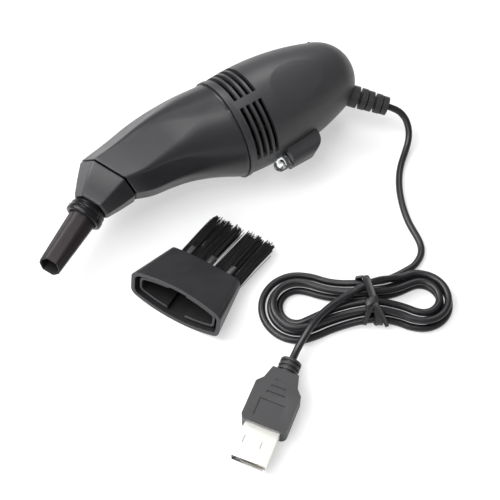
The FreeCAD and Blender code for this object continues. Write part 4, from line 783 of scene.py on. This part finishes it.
@dataclass
class Lead:
    """USB lead from the strain relief through its wound hank to the plug, in millimetres."""

    radius: float = 1.3
    pitch: float = 3.15
    waist: Pair = (-14.6, -82.7)
    waist_turn: float = -30.85
    waist_half: float = 8.2
    left_lobe: Pair = (25.2, 13.8)
    right_lobe: Pair = (18.2, 12.6)
    lift: float = 1.5
    lift_spread: float = 7.0
    peak: float = 2.375
    climb: float = 0.19
    first_turn: float = -0.125
    last_turn: float = 3.86
    steps: int = 32
    length: float = 0.725
    order: int = 3
    span_steps: int = 6
    round_steps: int = 5
    route: tuple[Triple, ...] = (
        (40.89, -21.14, 12.43), (43.67, -23.88, 11.54), (45.2, -27.3, 9.6), (44.9, -30.8, 7.0),
        (42.9, -34.1, 4.4), (39.0, -37.1, 2.3), (32.9, -41.4, 1.3), (27.2, -47.6, 1.3),
        (22.4, -55.4, 1.3), (19.0, -63.6, 1.3), (17.9, -69.5, 1.3), (16.6, -73.8, 1.3),
        (14.7, -76.3, 1.3), (12.7, -77.8, 1.3), (8.71, -79.37, 1.3), (4.45, -79.18, 1.3))
    tail: tuple[Triple, ...] = (
        (13.43, 9.0, 4.43), (10.11, 8.29, 4.3), (7.0, 7.5, 5.2), (4.1, 6.3, 6.6), (0.2, 4.6, 7.4),
        (-4.0, 2.5, 7.9), (-8.5, 0.4, 7.7), (-15.5, -3.8, 7.7), (-21.3, -9.4, 7.7), (-25.3, -14.8, 5.9))
    neck: tuple[Triple, ...] = ((-47.65, -83.96, 4.0), (-51.33, -86.38, 4.0))

    def to_object(self, point: Sequence[float]) -> Vector:
        """Point of the hank's frame in the object frame."""
        turn = radians(self.waist_turn)
        return Vector((self.waist[0] + point[0] * cos(turn) - point[1] * sin(turn),
                       self.waist[1] + point[0] * sin(turn) + point[1] * cos(turn), point[2]))

    def rise(self, along: float) -> float:
        """Height that the tie gives the strands."""
        return self.lift * exp(-(along / self.lift_spread) ** 2)

    def arcs(self) -> list[tuple[float, float, float, int, float, float]]:
        """Arcs of one turn of the hank.

        Returns:
            Eight rows of centre, radius, growth with the inward offset, first and last angle.
        """
        arcs = []
        half = pi
        for (away, radius), side, turn in ((self.left_lobe, -1, 0.0), (self.right_lobe, 1, half)):
            waist = (away ** 2 + self.waist_half ** 2 - radius ** 2) / (2 * (radius - self.waist_half))
            middle = self.waist_half + waist
            meet = atan2(middle, away)
            arcs += [(0.0, -side * middle, waist, 1, turn - half / 2, turn + meet - half),
                     (side * away, 0.0, radius, -1, turn + meet, turn + half),
                     (side * away, 0.0, radius, -1, turn + half, turn + 2 * half - meet),
                     (0.0, side * middle, waist, 1, turn + half - meet, turn + half / 2)]
        return arcs

    def wound(self, turns: float) -> Vector:
        """Point of the wound lead.

        Args:
            turns: turns from the first waist crossing.

        Returns:
            The point in the object frame.
        """
        inward = self.pitch * (turns if turns < self.peak else 2 * self.peak - turns)
        arcs = self.arcs()
        step = (turns % 1.0) * len(arcs)
        index = min(int(step), len(arcs) - 1)
        centre_x, centre_y, radius, grows, first, last = arcs[index]
        angle = first + (last - first) * (step - index)
        reach = radius + grows * inward
        if grows < 0:
            # Control points of a lobe stand off its arc, so that the curve between them touches it
            reach /= cos((last - first) * len(arcs) / self.steps / 2)
        along = centre_x + reach * cos(angle)
        across = centre_y + reach * sin(angle)
        climb = min(max((turns - self.peak) / self.climb + 0.5, 0.0), 1.0)
        height = self.radius + self.pitch * climb ** 2 * (3 - 2 * climb) + self.rise(along)
        return self.to_object((along, across, height))

    def points(self) -> list[Vector]:
        """Control points of the whole lead.

        Returns:
            The points in the object frame.
        """
        turns = [self.first_turn + index / self.steps for index in
                 range(int((self.last_turn - self.first_turn) * self.steps) + 1)]
        tail = [self.to_object((x, y, z + self.rise(x))) for x, y, z in self.tail]
        return ([Vector(point) for point in self.route] + [self.wound(turn) for turn in turns]
                + [self.wound(self.last_turn)] + tail + [Vector(point) for point in self.neck])

    def build(self) -> Object:
        """Builds the lead as one NURBS curve.

        Returns:
            The lead.
        """
        points = self.points()
        curve = bpy.data.curves.new("usb_lead", "CURVE")
        curve.dimensions = "3D"
        line = curve.splines.new("NURBS")
        line.points.add(len(points) - 1)
        for target, point in zip(line.points, points):
            target.co = (*(point * MM), 1.0)
        line.order_u = self.order
        line.use_endpoint_u = True
        curve.resolution_u = self.span_steps
        curve.bevel_depth = self.radius * MM
        curve.bevel_resolution = self.round_steps
        curve.use_fill_caps = True
        curve.materials.append(PALETTE.sheath.make())
        lead = linked("usb_lead", curve)
        return seat(lead, Body.HOUSING, "cord_run", "cord_run", "cord_hank", "cord_tail")


@dataclass
class Tie:
    """Flat coated twist tie round the waist of the hank, in millimetres."""

    width: float = 2.5
    thickness: float = 0.9
    slack: float = 0.3
    slant: float = -0.26
    floor_gap: float = 0.05
    tail_strand: Pair = (4.9, 8.9)
    steps: int = 56
    section: tuple[Pair, ...] = (
        (0.5, 0.2), (0.42, 0.5), (0.12, 0.28), (-0.12, 0.28), (-0.42, 0.5), (-0.5, 0.2),
        (-0.5, -0.3), (-0.4, -0.5), (0.4, -0.5), (0.5, -0.3))
    ends: tuple[tuple[str, float, tuple[Triple, ...]], ...] = (
        ("tie_end_left", 40.0, ((-0.3, -2.4, 8.9), (-0.9, -4.4, 8.5), (-1.7, -6.0, 7.2), (-2.4, -7.5, 5.2),
                                (-3.0, -8.7, 3.0))),
        ("tie_end_right", -45.0, ((-0.2, -2.4, 9.1), (0.8, -4.2, 8.8), (2.3, -6.0, 7.2), (3.7, -7.8, 4.9),
                                  (5.0, -9.4, 2.2))))
    end_tip: float = 0.55
    end_steps: int = 4
    knot: Triple = (-0.3, -2.9, 8.75)
    knot_reach: Triple = (2.0, 0.9, 0.95)
    knot_steps: int = 28

    def strip(self, name: str, path: Sequence[Vector], sides: Sequence[Vector], loop: bool,
              material: Material, tip: float = 1.0) -> Object:
        """Flat strip along a path.

        Args:
            name: name of the piece.
            path: points of its middle line.
            sides: direction across the strip at each point.
            loop: whether the path is closed.
            material: its material.
            tip: width at its end as a share of the width at its start.

        Returns:
            The new piece.
        """
        rings = []
        count = len(path)
        for index, (point, side) in enumerate(zip(path, sides)):
            before = path[index - 1] if loop or index else point
            after = path[(index + 1) % count] if loop or index + 1 < count else point
            ahead = (after - before).normalized()
            across = (side - ahead * side.dot(ahead)).normalized()
            outward = ahead.cross(across)
            width = self.width * (1.0 + (tip - 1.0) * index / (count - 1))
            rings.append([(point + across * x * width + outward * y * self.thickness) * MM
                          for x, y in self.section])
        return piece(name, rings_mesh(name, rings, caps=not loop, loop=loop), material)

    def build(self, lead: Lead) -> list[Object]:
        """Builds the band and its two twisted ends.

        Args:
            lead: the lead that it holds.

        Returns:
            The pieces of the tie.
        """
        turn = spin(lead.waist_turn)
        strands = []
        for half_turns in range(int(2 * lead.last_turn) + 1):
            spot = lead.wound(half_turns / 2.0)
            local = turn.inverted() @ (spot - Vector((*lead.waist, 0.0)))
            strands.append((local.y, local.z))
        strands.append(self.tail_strand)
        reach = lead.radius + self.slack + self.thickness / 2
        path = []
        for out, up in circle(self.steps):
            y, z = max(strands, key=lambda strand: strand[0] * out + strand[1] * up)
            y, z = y + reach * out, z + reach * up
            z = max(z, self.thickness / 2 + self.floor_gap)
            path.append(lead.to_object((self.slant * y, y, z)))
        along, across = turn @ X_AXIS, turn @ Y_AXIS
        material = PALETTE.rubber.make()
        made = [self.strip("tie_band", path, [along] * len(path), True, material)]
        for name, twist, spots in self.ends:
            line = self.smooth([lead.to_object(spot) for spot in spots])
            last = len(line) - 1
            sides = [spin(twist * (1.0 - index / last), "X") @ along for index in range(len(line))]
            made.append(self.strip(name, line, sides, False, material, self.end_tip))
        (x, y, z), (wide, deep, high) = self.knot, self.knot_reach
        knot = [lead.to_object((x + wide * out, y + deep * out, z + high * up))
                for out, up in circle(self.knot_steps)]
        made.append(self.strip("tie_twist", knot, [across] * len(knot), True, material))
        for item in made:
            seat(item, Body.HOUSING, "cord_tie")
        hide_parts("cord_tie")
        return made

    def smooth(self, spots: Sequence[Vector]) -> list[Vector]:
        """Smooth curve through spots.

        Args:
            spots: the spots, in order.

        Returns:
            Points along the curve.
        """
        line = []
        final = len(spots) - 1
        for index in range(final):
            before, after = spots[max(index - 1, 0)], spots[min(index + 2, final)]
            low, high = spots[index], spots[index + 1]
            for step in range(self.end_steps):
                t = step / self.end_steps
                line.append(0.5 * (2 * low + (high - before) * t
                                   + (2 * before - 5 * low + 4 * high - after) * t ** 2
                                   + (3 * low - before - 3 * high + after) * t ** 3))
        return line + [spots[-1]]


@dataclass
class Front:
    """Dust chamber, nose cone, collar and crevice tube in the vacuum's own frame, in millimetres."""

    seam: float = -22.5
    seam_radius: float = 18.88
    neck: Pair = (-68.7, 3.4)
    neck_radius: float = 11.4
    bend: float = 27.5
    skew: float = 13.5
    wall: float = 1.5
    rim_rounding: float = 0.22
    rim_angle: float = 58.0
    shell_steps: int = 44
    least_rounding: float = 0.055
    cone_length: float = 12.4
    cone_tip: float = 6.7
    cone_rounding: float = 0.07
    collar_front: float = 17.7
    collar_grip: float = 4.0
    collar_bore: Pair = (5.5, 5.0)
    collar_steps: int = 64
    tube_grip: float = 3.3
    tube_reach: float = 39.8
    tube_root: float = 4.95
    tube_tip: float = 4.0
    tube_squash: float = 0.8
    tube_rounding: Pair = (0.55, 0.25)
    tube_wall: float = 0.75
    tube_steps: int = 16
    mouth_slant: float = 2.6
    corner_steps: int = 4
    # Material of the painted shade on the inner faces of the walls
    painted_shade_lining: Material | None = None
    # Points across a flat, as shares of its width
    flat_shares: tuple[float, ...] = (0.06, 0.27, 0.5, 0.73, 0.94)
    # Rows of the chamber: share of its length; half size and offset as shares of the radius at the seam;
    # tilt; rounding
    shares: tuple[tuple[float, ...], ...] = (
        (0.0, 1.0, 0.0, 0.0, 0.97), (0.222, 0.889, 0.14, 0.05, 0.9), (0.444, 0.785, 0.214, 0.14, 0.5),
        (0.625, 0.723, 0.215, 0.32, 0.28), (0.827, 0.66, 0.175, 0.62, 0.14), (1.0, 0.61, 0.19, 1.0, 0.08))
    # Collar from its bore round to its front edge: distance behind the front and radius
    collar_profile: tuple[Pair, ...] = (
        (4.4, 5.5), (4.4, 6.1), (4.1, 6.45), (3.3, 6.6), (3.0, 6.35), (2.7, 6.35), (2.45, 6.7), (2.1, 6.85),
        (0.7, 6.88), (0.25, 6.72), (0.0, 6.35), (0.0, 5.75), (0.3, 5.45), (1.6, 5.38))

    def station(self, along: float) -> list[float]:
        """Section of the chamber, from a smooth curve through its rows.

        Args:
            along: share of its length.

        Returns:
            Half size, offset, tilt and rounding.
        """
        rows = [(row[0], row[1] * self.seam_radius, row[2] * self.seam_radius, row[3], row[4])
                for row in self.shares]
        rows[-1] = (rows[-1][0], self.neck_radius, self.neck[1]) + rows[-1][3:]
        index = max(i for i in range(len(rows) - 1) if rows[i][0] <= along + 1e-9)
        before, low = rows[max(index - 1, 0)], rows[index]
        high, after = rows[index + 1], rows[min(index + 2, len(rows) - 1)]
        span = high[0] - low[0]
        t = (along - low[0]) / span
        values = []
        for k in range(1, 5):
            first = (high[k] - before[k]) / (high[0] - before[0]) * span
            last = (after[k] - low[k]) / (after[0] - low[0]) * span
            values.append((2 * t ** 3 - 3 * t ** 2 + 1) * low[k] + (t ** 3 - 2 * t ** 2 + t) * first
                          + (-2 * t ** 3 + 3 * t ** 2) * high[k] + (t ** 3 - t ** 2) * last)
        return values

    def facing(self, side: int) -> float:
        """Direction that a flat of the octagon faces, in radians."""
        lean = (0, -1, 0, 1)[side % 4]
        return radians(45.0 * side + lean * self.skew)

    def ring(self, half: float, rounding: float, spot: Matrix, squash: float = 1.0,
             slant: float = 0.0) -> list[Vector]:
        """Rounded octagon with a wide flat up, across the X axis of a place.

        Args:
            half: distance of its flats from the axis.
            rounding: corner radius as a share of the half size.
            spot: place of the ring in the vacuum's frame.
            squash: height as a share of the width.
            slant: how far the top stands back along the axis.

        Returns:
            Points of the ring in the object frame, in metres.
        """
        corner = rounding * half
        points = []
        for side in range(8):
            turn = self.facing(side)
            before = (turn - self.facing(side - 1)) / 2
            after = (self.facing(side + 1) - turn) / 2
            out = Vector((0, cos(turn), sin(turn)))
            along = Vector((0, -sin(turn), cos(turn)))
            low = -(half - corner) * tan(before)
            high = (half - corner) * tan(after)
            for share in self.flat_shares:
                points.append(out * half + along * (low + (high - low) * share))
            middle = turn + after
            centre = Vector((0, cos(middle), sin(middle))) * ((half - corner) / cos(after))
            for step in range(self.corner_steps + 1):
                angle = turn + 2 * after * step / self.corner_steps
                points.append(centre + Vector((0, cos(angle), sin(angle))) * corner)
        placed = []
        for point in points:
            back = slant * (point.z / half + 1.0) / 2
            placed.append(LIE @ ((spot @ Vector((-back, point.y, point.z * squash))) * MM))
        return placed

    def nozzle(self, along: float) -> Matrix:
        """Place on the nozzle axis at a distance from the neck."""
        return (Matrix.Translation((*self.neck, 0.0)) @ spin(180 + self.bend, size=4)
                @ Matrix.Translation((along, 0.0, 0.0)))

    def walled(self, name: str, rings: list[list[Vector]], finish: Moulding, wall: float,
               body: Body, node: str) -> None:
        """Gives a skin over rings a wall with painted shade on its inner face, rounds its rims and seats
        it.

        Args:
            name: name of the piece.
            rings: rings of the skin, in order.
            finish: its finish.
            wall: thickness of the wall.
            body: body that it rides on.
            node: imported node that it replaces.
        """
        made = piece(name, rings_mesh(name, rings), finish.make())
        # The inner face of the wall gets the painted shade
        made.data.materials.append(self.painted_shade_lining)
        shell = made.modifiers.new("wall", "SOLIDIFY")
        shell.material_offset = 1
        shell.thickness = wall * MM
        shell.offset = -1.0
        seat(bevelled(baked(made), self.rim_rounding, angle=self.rim_angle, weigh=False), body, node, node)

    def shell(self) -> None:
        """Builds the dust chamber."""
        rings = []
        for index in range(self.shell_steps + 1):
            along = index / self.shell_steps
            half, y, tilt, rounding = self.station(along)
            x = self.seam + along * (self.neck[0] - self.seam)
            spot = Matrix.Translation((x, y, 0.0)) @ spin(180 + tilt * self.bend, size=4)
            rings.append(self.ring(half, max(rounding, self.least_rounding), spot))
        self.walled("dust_chamber_shell", rings, PALETTE.shell, self.wall, Body.CHAMBER, "dust_chamber")

    def cone(self) -> None:
        """Builds the faceted nose cone, with rims rounded by close rings."""
        back, length, tip = self.neck_radius, self.cone_length, self.cone_tip
        stations = [(0.55, back - 0.3), (0.85, back - 0.05), (1.5, back - 0.15), (6.8, 9.15),
                    (length - 0.9, tip + 0.35), (length - 0.3, tip - 0.05), (length, tip - 0.5)]
        rings = [self.ring(half, self.cone_rounding, self.nozzle(along)) for along, half in stations]
        self.walled("nose_cone_shell", rings, PALETTE.shell, self.wall, Body.CHAMBER, "nose_cone")

    def collar(self) -> None:
        """Builds the grooved collar ring."""
        back = self.cone_length - self.collar_grip
        outer, inner = self.collar_bore
        profile = [(back, outer)] + [(self.collar_front - behind, radius)
                                     for behind, radius in self.collar_profile] + [(back, inner)]
        made = turned("collar_grooved", profile, LIE_MM @ self.nozzle(0.0), PALETTE.collar.make(),
                      self.collar_steps)
        seat(made, Body.CHAMBER, "nozzle_collar", "nozzle_collar")

    def tube(self) -> None:
        """Builds the flattened, faceted crevice tube with its slanted mouth."""
        start = self.collar_front - self.tube_grip
        rings = []
        for index in range(self.tube_steps + 1):
            share = index / self.tube_steps
            along = start + (self.tube_reach - start) * share
            taper = max(0.0, (along - self.collar_front) / (self.tube_reach - self.collar_front))
            half = self.tube_root + (self.tube_tip - self.tube_root) * taper
            squash = 1.0 + (self.tube_squash - 1.0) * taper
            rounding = self.tube_rounding[0] - self.tube_rounding[1] * taper
            slant = self.mouth_slant * share ** 4
            rings.append(self.ring(half, rounding, self.nozzle(along), squash, slant))
        self.walled("crevice_tube_flat", rings, PALETTE.spout, self.tube_wall, Body.TUBE, "crevice_tube")

    def build(self) -> None:
        """Builds the front pieces."""
        self.painted_shade_lining = PALETTE.inside.make()
        self.shell()
        self.cone()
        self.collar()
        self.tube()


@dataclass
class Trim:
    """Small pieces of the housing and the plug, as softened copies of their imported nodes."""

    # Node, finish, rounding of its edges, wider rounding of its rim, body
    pieces: tuple[tuple[str, Moulding | Metal, float, float, Body], ...] = (
        ("lamp_pod", PALETTE.rear_shell, 1.3, 0.0, Body.HOUSING),
        ("cord_boot", PALETTE.rubber, 0.22, 0.0, Body.HOUSING),
        ("switch_knob", PALETTE.rear_shell, 0.3, 0.0, Body.SWITCH),
        ("plug_overmold", PALETTE.plug, 0.2, 0.9, Body.HOUSING),
        ("plug_shell", PALETTE.nickel, 0.35, 0.0, Body.HOUSING),
        ("brush_head", PALETTE.brush, 0.32, 0.0, Body.BRUSH))
    # Reach of the painted shade inside the brush head, in millimetres
    pocket: float = 26.0
    lamp: Pair = (-8.6, -22.3)
    cup: tuple[Pair, ...] = ((-1.3, 1.15), (-1.3, 1.0), (-0.5, 0.45), (-0.5, 0.05), (0.0, 0.05), (0.0, 0.9),
                             (-0.4, 1.15))
    cup_steps: int = 32

    def build(self, nodes: dict[str, Object]) -> dict[str, Object]:
        """Builds the softened copies.

        Args:
            nodes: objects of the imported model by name.

        Returns:
            The pieces by the name of their node.
        """
        made = {}
        for node, finish, width, rim, body in self.pieces:
            soft = softened(nodes[node], node + "_soft", finish.make(), width, rim)
            # The brush head's hollow gets painted shade
            if node == "brush_head":
                paint_hollow_shade(soft, PALETTE.inside.make(), self.pocket)
            made[node] = seat(soft, body, node, node)
        return made

    def reflector(self) -> None:
        """Builds the reflector cup inside the lamp."""
        spot = LIE_MM @ Matrix.Translation((*self.lamp, 0.0))
        made = turned("lamp_cup", self.cup, spot, PALETTE.steel.make(), self.cup_steps)
        seat(made, Body.HOUSING, "lamp_leads")


@dataclass
class Brush:
    """Bristles and tuft sleeves of the brush head, in millimetres."""

    back: Triple = (-55.71, -39.11, 4.09)
    turn: float = 25.5
    lean: float = 18.3
    first: float = -9.1
    pitch: float = 4.05
    split: float = 0.9
    parting: float = 0.55
    count: int = 6
    width: float = 3.9
    height: float = 3.5
    depth: float = 1.2
    length: float = 22.4
    radius: float = 0.125
    density: float = 9.0e6
    seed: int = 7
    middle: float = 0.55
    arch: float = 0.6
    wire_steps: int = 4
    least_tilt: Triple = (0.0, -0.022, -0.028)
    most_tilt: Triple = (0.0, 0.03, 0.028)
    reach: Pair = (0.86, 1.03)
    sleeves_at: tuple[float, ...] = (-8.5, 0.05, 8.5)
    sleeve_width: float = 2.5
    sleeve_height: float = 2.2
    sleeve_depth: float = 1.4
    sleeve_rise: float = 0.85
    sleeve: float = 7.3
    sleeve_rounding: float = 0.8

    def patch(self, name: str, inset: float, spots: Sequence[float], width: float, height: float,
              rise: float) -> Object:
        """Root faces, one for each spot across the head, looking along the bristles.

        Args:
            name: name of the object.
            inset: how far the faces stand inside the back of the head.
            spots: distance of each face to the right of the middle.
            width: width of each face.
            height: height of each face.
            rise: how far their middle lies above the middle of the tufts.

        Returns:
            Object with the faces.
        """
        across = spin(self.turn) @ Y_AXIS
        ahead, side = spin(self.lean) @ X_AXIS, spin(self.lean) @ Y_AXIS
        corners = []
        for right in spots:
            middle = Vector(self.back) - across * right - ahead * inset
            for left, up in ((-1, -1), (1, -1), (1, 1), (-1, 1)):
                above = Vector((0, 0, up * height / 2 + rise))
                corners.append((middle + side * left * width / 2 + above) * MM)
        mesh = bpy.data.meshes.new(name)
        mesh.from_pydata(corners, [], [range(start, start + 4) for start in range(0, len(corners), 4)])
        return linked(name, mesh)

    def bristles(self) -> None:
        """Plants the bristles."""
        tree = Repeat("bristle_planting")
        density = tree.size("Density", "NodeSocketFloat", self.density)
        thick = tree.size("Bristle Radius", "NodeSocketFloat", self.radius * MM)
        tip = tree.size("Tip", "NodeSocketVector", tuple(spin(self.lean) @ X_AXIS * self.length * MM))
        seed = tree.size("Seed", "NodeSocketInt", self.seed)
        points = tree.node("GeometryNodeDistributePointsOnFaces", Mesh=tree.inlet.outputs[0],
                           Density=density, Seed=seed)
        half_way = tree.node("ShaderNodeVectorMath", {"operation": "MULTIPLY_ADD"}, in_0=tip,
                             in_1=(self.middle,) * 3, in_2=(0.0, 0.0, self.arch * MM))
        line = tree.node("GeometryNodeCurveQuadraticBezier", Resolution=self.wire_steps,
                         Start=(0.0, 0.0, 0.0), Middle=half_way.outputs[0], End=tip)
        section = tree.node("GeometryNodeCurvePrimitiveCircle", Resolution=self.wire_steps, Radius=thick)
        wire = tree.node("GeometryNodeCurveToMesh", Curve=line.outputs[0], in_1=section.outputs[0],
                         Fill_Caps=True)
        tilt = tree.node("FunctionNodeRandomValue", {"data_type": "FLOAT_VECTOR"}, Seed=seed,
                         in_0=self.least_tilt, in_1=self.most_tilt)
        reach = tree.node("FunctionNodeRandomValue", {"data_type": "FLOAT"}, Seed=seed,
                          in_2=self.reach[0], in_3=self.reach[1])
        planted = tree.node("GeometryNodeInstanceOnPoints", Points=points.outputs[0],
                            Instance=wire.outputs[0], Rotation=tilt.outputs[0], Scale=reach.outputs[1])
        tufts = []
        for tuft in range(self.count):
            shift = self.split + self.parting if tuft >= self.count / 2 else -self.parting / 2
            tufts.append(self.first + tuft * self.pitch + shift)
        roots = self.patch("bristle_tufts", self.depth, tufts, self.width, self.height, 0.0)
        made = tree.bake(roots, planted.outputs[0], PALETTE.bristle.make())
        seat(made, Body.BRUSH, "brush_tufts", "brush_tufts")

    def sleeves(self) -> None:
        """Raises the short sleeves that hold the tufts."""
        tree = Repeat("tuft_sleeves")
        out = tree.size("Length", "NodeSocketFloat", self.sleeve * MM)
        raised = tree.node("GeometryNodeExtrudeMesh", {"mode": "FACES"}, Mesh=tree.inlet.outputs[0],
                           in_3=out, Individual=True)
        roots = self.patch("tuft_sleeve_set", self.sleeve_depth, self.sleeves_at, self.sleeve_width,
                           self.sleeve_height, self.sleeve_rise)
        made = tree.bake(roots, raised.outputs[0], PALETTE.sleeve.make())
        seat(bevelled(made, self.sleeve_rounding, 3), Body.BRUSH, "brush_head")

    def build(self) -> None:
        """Builds the bristles and their sleeves."""
        self.bristles()
        self.sleeves()


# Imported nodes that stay, by finish
DRESS = {
    "rear_shell": ("housing_upper", "housing_lower"),
    "steel": ("housing_screws", "motor_can", "rotor_core", "motor_shaft", "motor_screws", "switch_body",
              "lamp_leads"),
    # The parts inside the housing get the near-black painted shade of its inside
    "inside": ("bulkhead", "motor_mount", "fan_impeller"),
    "pale": ("filter_frame",),
    "cloth": ("filter_bag",),
    "cream": ("motor_end_bell",),
    "gold": ("motor_terminals", "switch_pins", "plug_contacts"),
    "ferrite": ("motor_magnets",),
    "copper": ("rotor_windings",),
    "bronze": ("commutator", "front_bush", "rear_bush"),
    "carbon": ("motor_brushes",),
    "resin": ("lamp_led",),
    "resistor": ("lamp_resistor",),
    "sheath": ("cord_entry",),
    # The plug tongue's grey is painted shade inside the plug shell
    "white": ("plug_tongue",),
}


def dress_nodes(nodes: dict[str, Object]) -> None:
    """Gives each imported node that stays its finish.

    Args:
        nodes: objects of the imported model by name.
    """
    for finish, names in DRESS.items():
        material = getattr(PALETTE, finish).make()
        for name in names:
            nodes[name].data.materials.clear()
            nodes[name].data.materials.append(material)
    log.info("dressed %d nodes", sum(len(names) for names in DRESS.values()))


def main() -> None:
    """Builds the scene."""
    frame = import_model()
    Studio().build()
    nodes = frame["nodes"]
    dress_nodes(nodes)
    lead = Lead()
    cord = lead.build()
    tie = Tie().build(lead)
    Front().build()
    trim = Trim()
    soft = trim.build(nodes)
    trim.reflector()
    Brush().build()
    (tie + [soft["plug_overmold"], soft["plug_shell"], nodes["plug_tongue"],
                               nodes["plug_contacts"]])


if __name__ == "__main__":
    main()
